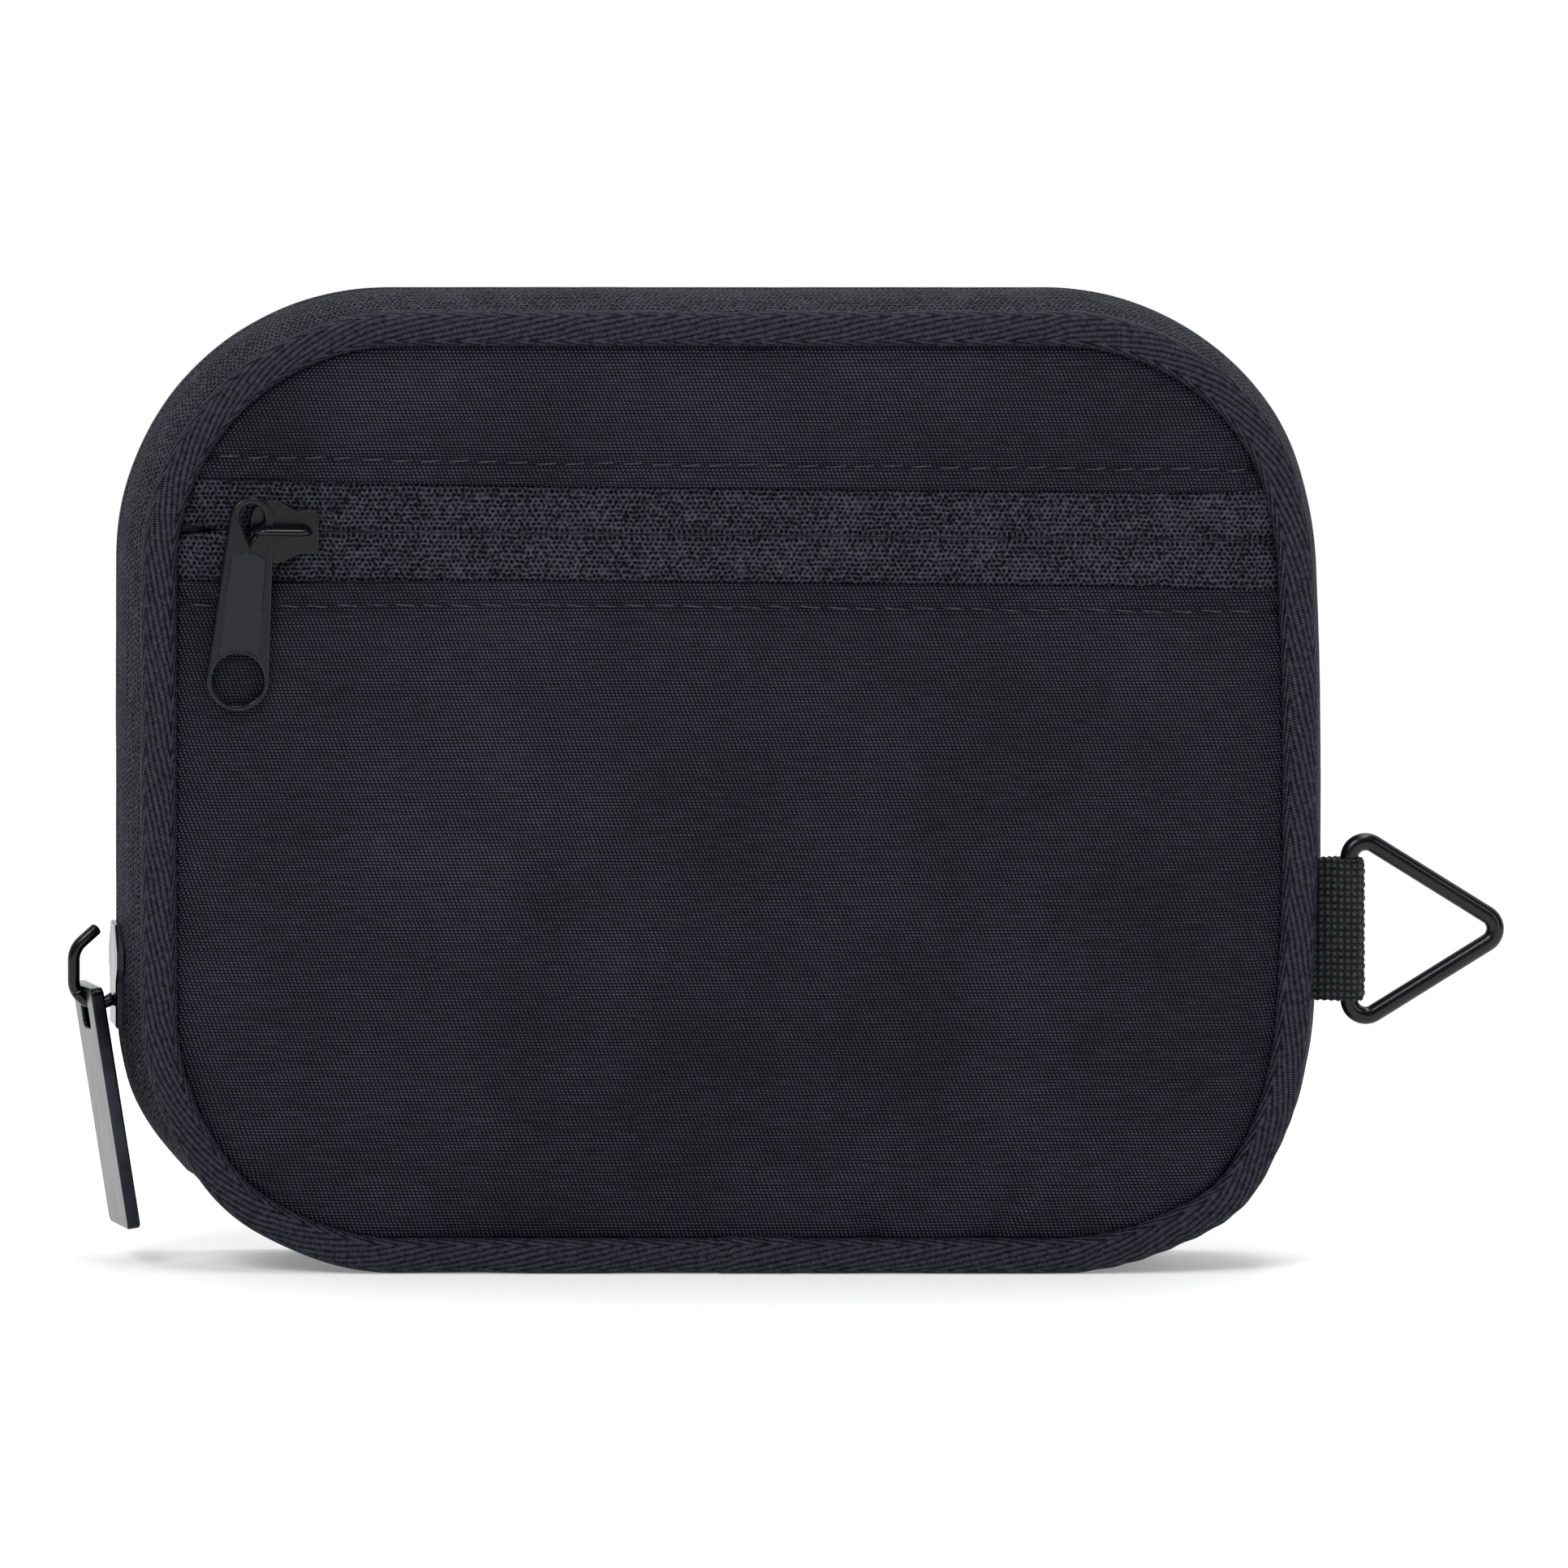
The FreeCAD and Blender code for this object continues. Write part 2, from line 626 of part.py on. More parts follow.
front_panels()
pocket_zip()
outer_layers()
main_zip()
bottom_gusset()
zip_stops()
main_pull(main_slider())
pocket_pull(pocket_slider())
side_tab()
check_and_write()
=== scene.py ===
"""The looks of a zip-around fabric pouch: crowned padded panels, twill binding, knitted zip tapes,
webbing tab and black metal hardware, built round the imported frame. Metres, +Z up, front towards -Y."""

import json
import math

import bmesh
import bpy
from mathutils import Matrix, Vector, noise


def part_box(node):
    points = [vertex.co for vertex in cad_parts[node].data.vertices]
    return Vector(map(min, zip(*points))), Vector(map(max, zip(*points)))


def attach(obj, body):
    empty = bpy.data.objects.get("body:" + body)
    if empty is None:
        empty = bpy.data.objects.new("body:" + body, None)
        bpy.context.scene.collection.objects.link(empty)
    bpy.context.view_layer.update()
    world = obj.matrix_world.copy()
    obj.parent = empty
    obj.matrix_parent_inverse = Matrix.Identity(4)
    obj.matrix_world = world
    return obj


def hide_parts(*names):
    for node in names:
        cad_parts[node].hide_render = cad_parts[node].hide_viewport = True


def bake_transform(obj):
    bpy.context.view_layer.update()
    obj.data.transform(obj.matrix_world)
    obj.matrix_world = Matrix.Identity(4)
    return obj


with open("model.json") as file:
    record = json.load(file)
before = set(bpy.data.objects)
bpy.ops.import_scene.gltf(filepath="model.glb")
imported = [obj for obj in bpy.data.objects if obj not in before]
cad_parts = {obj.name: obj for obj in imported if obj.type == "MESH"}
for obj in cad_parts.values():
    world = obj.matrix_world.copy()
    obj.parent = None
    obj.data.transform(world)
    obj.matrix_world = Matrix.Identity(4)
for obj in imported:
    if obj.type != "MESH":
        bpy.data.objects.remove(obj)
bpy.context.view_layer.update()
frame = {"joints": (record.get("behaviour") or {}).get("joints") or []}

MM = 0.001
JOINTS = {joint["name"]: joint for joint in frame["joints"]}
BIND_LOW, BIND_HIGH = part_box("front_binding")
HALF_W = BIND_HIGH.x
HEIGHT = BIND_HIGH.z
FRONT = BIND_LOW.y
SEAM = BIND_HIGH.y
CORNER = 35 * MM
TAPE_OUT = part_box("back_gusset_tape")[1].x - HALF_W
ZIP_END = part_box("bottom_gusset")[1].z + 0.2 * MM
SLIDE_AXIS = Vector(JOINTS["pocket_slider_runs"]["axis"])
SLOPE = SLIDE_AXIS.z / SLIDE_AXIS.x  # of the pocket zip, which drops a little towards +X
BAND_Z = (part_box("pocket_tape_upper")[1].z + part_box("pocket_tape_lower")[0].z) / 2
HALF_BAND = 6.55 * MM
WEAVE_U = 0.92 * MM  # one float of the tab's basket weave, along it and across it
WEAVE_V = 0.914 * MM
STITCH_BACK = 2.6 * MM  # the topstitching's distance behind each fold
STITCH_PITCH = 3.9 * MM
FRONT_SEED = 3.1  # each face has its own slow unevenness
BACK_SEED = 7.7


def smooth(x, low, high):
    """0 below low, 1 above high, with an eased rise between."""
    t = min(max((x - low) / (high - low), 0.0), 1.0)
    return t * t * (3 - 2 * t)


def fuzz(x, y, z, scale, seed=0.0):
    """Smooth noise, about -1 to 1, of features about the size given."""
    return noise.noise(Vector((x / scale + seed, y / scale - seed, z / scale + 2 * seed)))


def band_line(x):
    """Height of the middle of the pocket zip, which drops a little towards +X."""
    return BAND_Z + SLOPE * x


# ---------------------------------------------------------------- outline


def soften(x, z):
    """The sewn outline isn't made of true arcs: its sides ease in near the corners and its feet bulge."""
    rise = min(z, HEIGHT - z) / MM
    at_top = z > HEIGHT / 2
    ease = math.exp(-(((rise - 28) / (9.0 if rise < 28 else 16.0)) ** 2))
    if x > 0:
        pull = 0.75 * MM if at_top else 1.1 * MM
    else:
        pull = 0.0 if at_top else 0.1 * MM
    share = smooth(abs(x), 0.5 * HALF_W, HALF_W)
    foot = 6.8 * MM
    spread = 3.0 * MM if z < foot else 6.0 * MM
    plump = (1.9 if x > 0 else 0.9) * MM * math.exp(-(((z - foot) / spread) ** 2))
    inwards = (pull * ease - plump) * share
    return (x - inwards if x > 0 else x + inwards), z


def outline_points(step):
    """Closed loop of (x, z, distance run, outward x and z), from the middle of the base towards +X."""
    flat = HALF_W - CORNER
    shoulder = HEIGHT - CORNER
    runs = [
        ("line", (0, 0), (flat, 0)),
        ("arc", (flat, CORNER), -90),
        ("line", (HALF_W, CORNER), (HALF_W, shoulder)),
        ("arc", (flat, shoulder), 0),
        ("line", (flat, HEIGHT), (-flat, HEIGHT)),
        ("arc", (-flat, shoulder), 90),
        ("line", (-HALF_W, shoulder), (-HALF_W, CORNER)),
        ("arc", (-flat, CORNER), 180),
        ("line", (-flat, 0), (0, 0)),
    ]
    points = []
    for kind, first, last in runs:
        if kind == "line":
            length = math.dist(first, last)
            count = max(2, round(length / step))
            along = ((last[0] - first[0]) / length, (last[1] - first[1]) / length)
            for i in range(count):
                t = i / count
                x = first[0] + (last[0] - first[0]) * t
                z = first[1] + (last[1] - first[1]) * t
                points.append((x, z, along[1], -along[0]))
        else:
            count = max(12, round(math.pi / 2 * CORNER / step))
            for i in range(count):
                angle = math.radians(last + 90 * i / count)
                out = (math.cos(angle), math.sin(angle))
                points.append((first[0] + CORNER * out[0], first[1] + CORNER * out[1], out[0], out[1]))
    loop = []
    travelled = 0.0
    before = None
    for x, z, nx, nz in points:
        if before is not None:
            travelled += math.dist(before, (x, z))
        before = (x, z)
        loop.append((x, z, travelled, nx, nz))
    return loop


# ---------------------------------------------------------------- meshes


def mesh_piece(name, vertices, faces, uvs=None):
    """A mesh object. uvs holds one (u, v) per vertex, in metres of cloth."""
    mesh = bpy.data.meshes.new(name)
    mesh.from_pydata(vertices, [], faces)
    mesh.update()
    if uvs is not None:
        layer = mesh.uv_layers.new(name="cloth")
        for loop in mesh.loops:
            layer.data[loop.index].uv = uvs[loop.vertex_index]
    for polygon in mesh.polygons:
        polygon.use_smooth = True
    piece = bpy.data.objects.new(name, mesh)
    bpy.context.scene.collection.objects.link(piece)
    return piece


def grid_piece(name, rows, closed_rows=False, closed_columns=False, uvs=None):
    """A surface through rows of points, which may close in either direction."""
    height, width = len(rows), len(rows[0])
    vertices = [point for row in rows for point in row]
    faces = []
    for j in range(height if closed_rows else height - 1):
        for i in range(width if closed_columns else width - 1):
            k = (i + 1) % width
            m = (j + 1) % height
            faces.append((j * width + i, j * width + k, m * width + k, m * width + i))
    return mesh_piece(name, vertices, faces, uvs)


def cloth_piece(name, rows, **closed):
    """A surface through rows of (point, (u, v) of the cloth)."""
    points = [[point for point, uv in row] for row in rows]
    return grid_piece(name, points, uvs=[uv for row in rows for point, uv in row], **closed)


def thicken(piece, thickness, offset):
    """Gives an open sheet its thickness, applied to the mesh."""
    solid = piece.modifiers.new("thickness", "SOLIDIFY")
    solid.thickness = thickness
    solid.offset = offset
    return apply_modifiers(piece)


def apply_modifiers(piece):
    """Makes what the modifiers show the piece's own mesh."""
    graph = bpy.context.evaluated_depsgraph_get()
    mesh = bpy.data.meshes.new_from_object(piece.evaluated_get(graph))
    piece.modifiers.clear()
    piece.data = mesh
    return piece


def close_up(mesh):
    """Caps a mesh's open ends, if it has any, and turns its faces outwards."""
    work = bmesh.new()
    work.from_mesh(mesh)
    bmesh.ops.holes_fill(work, edges=[edge for edge in work.edges if edge.is_boundary], sides=0)
    bmesh.ops.recalc_face_normals(work, faces=work.faces)
    work.to_mesh(mesh)
    work.free()


def curve_piece(name, loops, thickness, bevel):
    """A flat plate with rounded edges. The first closed 2D loop is its outline, the rest are holes."""
    curve = bpy.data.curves.new(name, "CURVE")
    curve.dimensions = "2D"
    curve.fill_mode = "BOTH"
    curve.extrude = thickness / 2 - bevel
    curve.bevel_depth = bevel
    curve.bevel_resolution = 3
    curve.offset = -bevel
    for loop in loops:
        spline = curve.splines.new("POLY")
        spline.points.add(len(loop) - 1)
        for point, (x, y) in zip(spline.points, loop):
            point.co = (x, y, 0, 1)
        spline.use_cyclic_u = True
    holder = bpy.data.objects.new(name + "_curve", curve)
    bpy.context.scene.collection.objects.link(holder)
    graph = bpy.context.evaluated_depsgraph_get()
    mesh = bpy.data.meshes.new_from_object(holder.evaluated_get(graph))
    bpy.data.objects.remove(holder)
    mesh.name = name
    work = bmesh.new()
    work.from_mesh(mesh)
    bmesh.ops.remove_doubles(work, verts=work.verts, dist=1e-6)
    bmesh.ops.recalc_face_normals(work, faces=work.faces)
    work.to_mesh(mesh)
    work.free()
    piece = bpy.data.objects.new(name, mesh)
    bpy.context.scene.collection.objects.link(piece)
    return piece


def circle_loop(x, y, radius, count=48, start=0.0, sweep=2 * math.pi):
    """Points round a circle, or along an arc of it with both of its ends."""
    full = abs(sweep - 2 * math.pi) < 1e-6
    last = count if full else count - 1
    return [
        (x + radius * math.cos(start + sweep * i / last), y + radius * math.sin(start + sweep * i / last))
        for i in range(count)
    ]


def rounded_path(points, bend, closed=False, steps=10):
    """The points with each corner replaced by an arc."""
    count = len(points)
    path = []
    for i, corner in enumerate(points):
        corner = Vector(corner)
        if not closed and i in (0, count - 1):
            path.append(corner)
            continue
        back = (Vector(points[i - 1]) - corner).normalized()
        ahead = (Vector(points[(i + 1) % count]) - corner).normalized()
        half = back.angle(ahead) / 2
        centre = corner + (back + ahead).normalized() * (bend / math.sin(half))
        first = (corner + back * (bend / math.tan(half)) - centre).normalized()
        last = (corner + ahead * (bend / math.tan(half)) - centre).normalized()
        for k in range(steps + 1):
            path.append(centre + first.slerp(last, k / steps).normalized() * bend)
    return path


def tube(name, path, radius, closed=False, sides=20, flat=1.0):
    """A round or flattened rod along a path, with domed ends when it is open."""
    count = len(path)
    rows = []
    upright = None
    for i, point in enumerate(path):
        before = path[i - 1] if closed or i else path[0]
        after = path[(i + 1) % count] if closed or i < count - 1 else path[-1]
        along = (after - before).normalized()
        if upright is None:
            upright = Vector((0, 1, 0)) if abs(along.y) < 0.9 else Vector((0, 0, 1))
        upright = (upright - along * upright.dot(along)).normalized()
        across = along.cross(upright)
        rows.append((point, along, upright, across))
    rings = []
    for index, (point, along, up, across) in enumerate(rows):
        shrink = [1.0]
        shift = [0.0]
        if not closed and index in (0, count - 1):
            side = -1 if index == 0 else 1
            steps = [(math.sin(a), math.cos(a)) for a in (0, 0.5, 0.9, 1.25, 1.5)]
            shrink = [c for s, c in steps]
            shift = [side * s * radius * 0.5 for s, c in steps]
            if index == 0:
                shrink.reverse()
                shift.reverse()
        for grow, move in zip(shrink, shift):
            ring = []
            for k in range(sides):
                angle = 2 * math.pi * k / sides
                out = up * (math.cos(angle) * radius * flat) + across * (math.sin(angle) * radius)
                ring.append(point + along * move + out * grow)
            rings.append(ring)
    piece = grid_piece(name, rings, closed_rows=closed, closed_columns=True)
    if not closed:
        close_up(piece.data)
    return piece


def join(name, pieces):
    """One new piece of all the pieces given, which are removed."""
    work = bmesh.new()
    for piece in pieces:
        piece.data.transform(piece.matrix_world)
        work.from_mesh(piece.data)
    mesh = bpy.data.meshes.new(name)
    work.to_mesh(mesh)
    work.free()
    for piece in pieces:
        bpy.data.objects.remove(piece)
    whole = bpy.data.objects.new(name, mesh)
    bpy.context.scene.collection.objects.link(whole)
    return whole


# ---------------------------------------------------------------- materials


class Graph:
    """A material's node tree with short calls for maths, noise and bump."""

    def __init__(self, name, roughness, metallic=0.0, specular=0.5):
        self.material = bpy.data.materials.new(name)
        self.material.use_nodes = True
        self.tree = self.material.node_tree
        self.shader = self.tree.nodes["Principled BSDF"]
        self.shader.inputs["Roughness"].default_value = roughness
        self.shader.inputs["Metallic"].default_value = metallic
        self.shader.inputs["Specular IOR Level"].default_value = specular
        self.height = None

    def node(self, kind, **settings):
        """A new node of the kind, with its settings."""
        made = self.tree.nodes.new(kind)
        for key, value in settings.items():
            setattr(made, key, value)
        return made

    def feed(self, socket, value):
        """Sets a socket to a number, or links it to another node's output."""
        if isinstance(value, (int, float)):
            socket.default_value = value
        elif value is not None:
            self.tree.links.new(value, socket)

    def math(self, operation, first, second=None):
        made = self.node("ShaderNodeMath", operation=operation)
        self.feed(made.inputs[0], first)
        self.feed(made.inputs[1], second)
        return made.outputs[0]

    def add(self, first, second):
        return self.math("ADD", first, second)

    def times(self, first, second):
        return self.math("MULTIPLY", first, second)

    def total(self, *weighted):
        """The sum of several outputs, each given with its weight."""
        parts = [self.times(value, weight) for value, weight in weighted]
        whole = parts[0]
        for part in parts[1:]:
            whole = self.add(whole, part)
        return whole

    def cloth_uv(self):
        """(u, v) of the cloth, in millimetres."""
        mapped = self.node("ShaderNodeUVMap", uv_map="cloth")
        split = self.node("ShaderNodeSeparateXYZ")
        self.tree.links.new(mapped.outputs[0], split.inputs[0])
        return self.times(split.outputs[0], 1000.0), self.times(split.outputs[1], 1000.0)

    def place(self):
        return self.node("ShaderNodeTexCoord").outputs["Object"]

    def noise(self, scale, detail=2.0, stretch=None):
        """Noise by place on the object, 0 to 1. scale counts features per metre."""
        made = self.node("ShaderNodeTexNoise")
        made.inputs["Scale"].default_value = scale
        made.inputs["Detail"].default_value = detail
        source = self.place()
        if stretch is not None:
            mapping = self.node("ShaderNodeMapping")
            mapping.inputs["Scale"].default_value = stretch
            self.tree.links.new(source, mapping.inputs["Vector"])
            source = mapping.outputs[0]
        self.tree.links.new(source, made.inputs["Vector"])
        return made.outputs["Fac"]

    def wave(self, value, pitch):
        """0 to 1 and back over each pitch, rounded like a thread."""
        return self.math("ABSOLUTE", self.math("SINE", self.times(value, math.pi / pitch)))

    def mix(self, share, low, high):
        """A number between low and high by the share."""
        made = self.node("ShaderNodeMix", data_type="FLOAT")
        self.feed(made.inputs[0], share)
        self.feed(made.inputs[2], low)
        self.feed(made.inputs[3], high)
        return made.outputs[0]

    def ramp(self, value, low, high, dark, light):
        """Colour from dark to light as the value goes from low to high."""
        made = self.node("ShaderNodeValToRGB")
        made.color_ramp.elements[0].position = low
        made.color_ramp.elements[0].color = (*dark, 1)
        made.color_ramp.elements[1].position = high
        made.color_ramp.elements[1].color = (*light, 1)
        self.feed(made.inputs[0], value)
        return made.outputs[0]

    def colour(self, value):
        self.tree.links.new(value, self.shader.inputs["Base Color"])

    def roughness(self, value):
        self.tree.links.new(value, self.shader.inputs["Roughness"])

    def bump(self, height, depth):
        """depth is in millimetres. Several calls add up."""
        made = self.node("ShaderNodeBump")
        made.inputs["Distance"].default_value = depth * MM
        made.inputs["Strength"].default_value = 1.0
        self.tree.links.new(height, made.inputs["Height"])
        if self.height is not None:
            self.tree.links.new(self.height, made.inputs["Normal"])
        self.height = made.outputs[0]
        self.tree.links.new(self.height, self.shader.inputs["Normal"])


def staggered(graph, u, v, pitch_u, pitch_v, shift):
    """Rows of rounded dots, 0 to 1, each row moved along by a share of the pitch."""
    row = graph.math("FLOOR", graph.times(v, 1 / pitch_v))
    moved = graph.add(u, graph.times(row, shift * pitch_u))
    return graph.times(graph.wave(moved, pitch_u), graph.wave(v, pitch_v))


def outer_cloth():
    """Padded nylon: short bright weft floats in slanting rows on a near-black ground."""
    graph = Graph("outer_cloth", 0.50, specular=0.11)
    u, v = graph.cloth_uv()
    drift = graph.times(graph.noise(130, 2.0), 0.5)
    floats = staggered(graph, graph.add(u, drift), v, 0.55, 0.42, 0.28)
    streak = graph.noise(1000, 2.0, (0.35, 1, 2.4))
    cloudy = graph.noise(45, 3.0)
    value = graph.total((floats, 0.55), (streak, 0.30), (cloudy, 0.30))
    graph.colour(graph.ramp(value, 0.50, 0.88, (0.0003, 0.0005, 0.0022), (0.0500, 0.0540, 0.0840)))
    graph.bump(floats, 0.10)
    graph.bump(streak, 0.04)
    return graph.material


def twill_tape():
    """Herringbone twill tape: long ribs at a shallow angle to the run, which is along u."""
    graph = Graph("binding_twill", 0.55, specular=0.09)
    u, v = graph.cloth_uv()
    drift = graph.times(graph.noise(160, 2.0), 0.7)
    zigzag = graph.math("PINGPONG", graph.add(v, 41.4), 3.3)
    ribs = graph.wave(graph.add(graph.add(graph.times(u, 0.20), zigzag), drift), 0.72)
    yarn = graph.wave(graph.add(u, graph.times(v, 0.3)), 0.36)
    patch = graph.noise(1400, 3.0)
    value = graph.total((ribs, 0.26), (yarn, 0.24), (patch, 0.52))
    graph.colour(graph.ramp(value, 0.44, 0.78, (0.0005, 0.0007, 0.0022), (0.0440, 0.0470, 0.0680)))
    graph.bump(ribs, 0.12)
    graph.bump(yarn, 0.05)
    return graph.material


def zip_tape():
    """Knitted zip tape: a loose mesh with small dark holes in staggered rows and bright fuzzy loops."""
    graph = Graph("zip_tape", 0.7, specular=0.08)
    u, v = graph.cloth_uv()
    drift = graph.times(graph.noise(420, 2.0), 0.55)
    holes = staggered(graph, graph.add(u, drift), graph.add(v, drift), 0.72, 0.62, 0.5)
    open_holes = graph.math("POWER", holes, 2.0)
    fluff = graph.noise(2300, 3.0)
    broad = graph.noise(240, 2.0)
    value = graph.total((fluff, 1.1), (open_holes, -0.42), (broad, 0.25))
    graph.colour(graph.ramp(value, 0.42, 0.84, (0.0004, 0.0005, 0.0014), (0.0560, 0.0590, 0.0800)))
    graph.bump(open_holes, -0.22)
    graph.bump(fluff, 0.16)
    return graph.material


def coil_plastic():
    """Black coil plastic, with a tooth at each turn along u."""
    graph = Graph("zip_coil", 0.42, specular=0.4)
    teeth = graph.wave(graph.cloth_uv()[0], 0.75)
    patch = graph.noise(700, 2.0)
    value = graph.total((teeth, 0.6), (patch, 0.4))
    graph.colour(graph.ramp(value, 0.1, 1.0, (0.004, 0.004, 0.005), (0.022, 0.022, 0.026)))
    graph.bump(teeth, 0.30)
    return graph.material


def lining_cloth():
    """Thin satin-backed lining."""
    graph = Graph("lining_cloth", 0.5, specular=0.2)
    u, v = graph.cloth_uv()
    weave = staggered(graph, u, v, 0.40, 0.40, 0.5)
    cloudy = graph.noise(90, 3.0)
    value = graph.total((weave, 0.45), (cloudy, 0.6))
    graph.colour(graph.ramp(value, 0.2, 0.95, (0.010, 0.011, 0.014), (0.035, 0.037, 0.045)))
    graph.bump(weave, 0.05)
    return graph.material


def webbing():
    """Coarse basket-woven webbing. The weave is also in the mesh; this adds yarns, shine and wear, and
    paints the raised floats lighter than the hollows between them as a painted highlight.
    """
    graph = Graph("webbing", 0.5, specular=0.22)
    u, v = graph.cloth_uv()
    floats = staggered(graph, u, v, WEAVE_U / MM, WEAVE_V / MM, 1.0)
    yarn = graph.wave(graph.add(u, graph.times(v, 0.35)), 0.21)
    patch = graph.noise(1300, 2.0)
    # Painted highlight: the floats term makes the tops of the weave lighter, as if lit, and the hollows
    # darker.
    value = graph.total((floats, 0.50), (yarn, 0.15), (patch, 0.45))
    graph.colour(graph.ramp(value, 0.36, 0.86, (0.0008, 0.0009, 0.0014), (0.0480, 0.0500, 0.0560)))
    graph.bump(floats, 0.22)
    graph.bump(yarn, 0.05)
    graph.bump(patch, 0.06)
    return graph.material


def thread():
    """Twisted sewing thread, painted a little paler than the cloth: the paleness is a painted highlight
    on the stitches; the twist streaks are the thread's own.
    """
    graph = Graph("thread", 0.5, specular=0.2)
    twist = graph.noise(2600, 1.0, (1, 1, 2.5))
    # Painted highlight: the whole ramp sits paler than the cloth's, so the stitches read as lit.
    graph.colour(graph.ramp(twist, 0.3, 0.75, (0.012, 0.013, 0.017), (0.070, 0.074, 0.090)))
    graph.bump(twist, 0.05)
    return graph.material


def black_lacquer():
    """Satin black lacquer on cast metal, a touch brighter and smoother where it is rubbed."""
    graph = Graph("black_lacquer", 0.24, specular=0.32)
    grain = graph.noise(2400, 3.0)
    wear = graph.noise(260, 4.0)
    graph.colour(graph.ramp(wear, 0.35, 0.75, (0.0012, 0.0014, 0.0024), (0.0042, 0.0047, 0.0070)))
    graph.roughness(graph.mix(wear, 0.18, 0.30))
    graph.bump(grain, 0.012)
    return graph.material


def satin_field():
    """The sunk field of the pocket pull: the same black, finely blasted."""
    graph = Graph("satin_field", 0.42, specular=0.34)
    grain = graph.noise(5200, 2.0)
    graph.colour(graph.ramp(grain, 0.3, 0.75, (0.004, 0.0046, 0.0080), (0.013, 0.0144, 0.0220)))
    graph.bump(grain, 0.02)
    return graph.material


def gunmetal():
    """Polished black nickel with fine rubbed scratches."""
    graph = Graph("gunmetal", 0.22, metallic=1.0)
    scratch = graph.noise(700, 4.0, (1, 1, 0.12))
    smear = graph.noise(120, 3.0)
    graph.colour(graph.ramp(smear, 0.3, 0.8, (0.010, 0.0112, 0.0150), (0.034, 0.037, 0.046)))
    graph.roughness(graph.mix(scratch, 0.10, 0.30))
    graph.bump(scratch, 0.008)
    return graph.material


MATERIALS = {
    "outer_cloth": outer_cloth(),
    "binding_twill": twill_tape(),
    "zip_tape": zip_tape(),
    "zip_coil": coil_plastic(),
    "lining_cloth": lining_cloth(),
    "webbing": webbing(),
    "thread": thread(),
    "black_metal": black_lacquer(),
    "satin_field": satin_field(),
    "gunmetal": gunmetal(),
}


def paint(piece, material):
    piece.data.materials.clear()
    piece.data.materials.append(MATERIALS[material])


def finish_piece(piece, material, body, *nodes):
    """Gives a piece its material and slot, sets it on its body, and hides the CAD nodes it stands for."""
    paint(piece, material)
    if body is not None:
        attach(piece, body)
    if nodes:
        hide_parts(*nodes)
    return piece


# ---------------------------------------------------------------- padded panels

UNDER_BINDING = 4.1 * MM  # how far inside the outline the panels' edges are caught
PAD_INSET = 5.2 * MM  # the same for the linings' edges
PANEL_RISE = 3.0 * MM
HEM_ROLL = 0.42 * MM
PANEL_BASE = 3.05 * MM  # behind the front-most face, where the panel goes under the binding


def depth_inside(x, z):
    """How far a point of the face lies inside the pouch's outline."""
    across = abs(x) - (HALF_W - CORNER)
    up = abs(z - HEIGHT / 2) - (HEIGHT / 2 - CORNER)
    return CORNER - math.hypot(max(across, 0), max(up, 0)) - min(max(across, up), 0)


def half_width_at(z, inset):
    """Half the outline's width at a height, moved in by the inset."""
    bend = CORNER - inset
    rise = min(z - inset, HEIGHT - inset - z)
    flat = HALF_W - CORNER
    if rise >= bend:
        return flat + bend
    return flat + math.sqrt(max(bend**2 - (bend - rise) ** 2, 0))


def crown(x, z):
    """How far a padded panel stands up from the binding's groove."""
    inside = depth_inside(x, z) - UNDER_BINDING
    roll = min(max(inside / (7.5 * MM), 0.0), 1.0)
    swell = min(max(inside / (50 * MM), 0.0), 1.0)
    clear_of_pull = 1 - smooth(z, 44 * MM, 70 * MM)
    return PANEL_RISE * math.sqrt(1 - (1 - roll) ** 2.2) + 1.0 * MM * swell * (2 - swell) * clear_of_pull


def edge_creases(x, z, seed):
    """Puckers where the padding is drawn under the binding, strongest at the lower right."""
    inside = depth_inside(x, z) - UNDER_BINDING
    fade = math.exp(-((inside / (6.5 * MM)) ** 2))
    around = math.atan2(z - HEIGHT / 2, x)
    ripple = fuzz(around * 0.10, 0, seed, 6.5 * MM)
    strength = 0.16 + 0.30 * smooth(x, 0, 40 * MM) * (1 - smooth(z, 8 * MM, 30 * MM))
    return fade * ripple * strength * MM


def dimple(x, z, at_x, at_z, long, wide, lean):
    """A soft dent, long in the direction that leans from upright by an angle."""
    dx, dz = x - at_x, z - at_z
    along = dx * math.sin(lean) + dz * math.cos(lean)
    across = dx * math.cos(lean) - dz * math.sin(lean)
    return math.exp(-((along / long) ** 2) - (across / wide) ** 2)


CREASES = (  # place in mm, length, width, lean from upright, depth
    (18.0, 7.5, 5.0, 1.6, -0.5, 0.75),
    (21.5, 8.0, 6.0, 1.4, -0.7, -0.35),
    (37.0, 8.0, 6.5, 1.7, 0.5, 0.70),
    (41.5, 9.0, 5.0, 1.5, 0.7, -0.35),
    (53.0, 13.0, 6.0, 2.0, 0.9, 0.35),
    (-38.0, 7.0, 5.0, 2.4, 0.2, 0.20),
    (6.0, 122.5, 4.0, 3.0, 0.1, 0.22),
    (-20.0, 122.8, 4.0, 4.0, -0.1, 0.18),
)


def face_relief(x, z, seed):
    """Everything that stands out of a flat front or back: crown, creases and slow unevenness."""
    relief = crown(x, z) + edge_creases(x, z, seed)
    relief += 0.22 * MM * fuzz(x, 0, z, 34 * MM, seed) * smooth(depth_inside(x, z), 4 * MM, 14 * MM)
    return relief


def panel_heights(low, high, fine_high=False):
    """Row heights, close together near the lower end and, where asked for, the upper."""
    rows = [low]
    while rows[-1] < high - 0.05 * MM:
        step = min(1.3 * MM, 0.22 * MM + 0.10 * (rows[-1] - low))
        if fine_high:
            step = min(step, 0.28 * MM + 0.10 * (high - rows[-1]))
        rows.append(min(rows[-1] + step, high))
    return rows


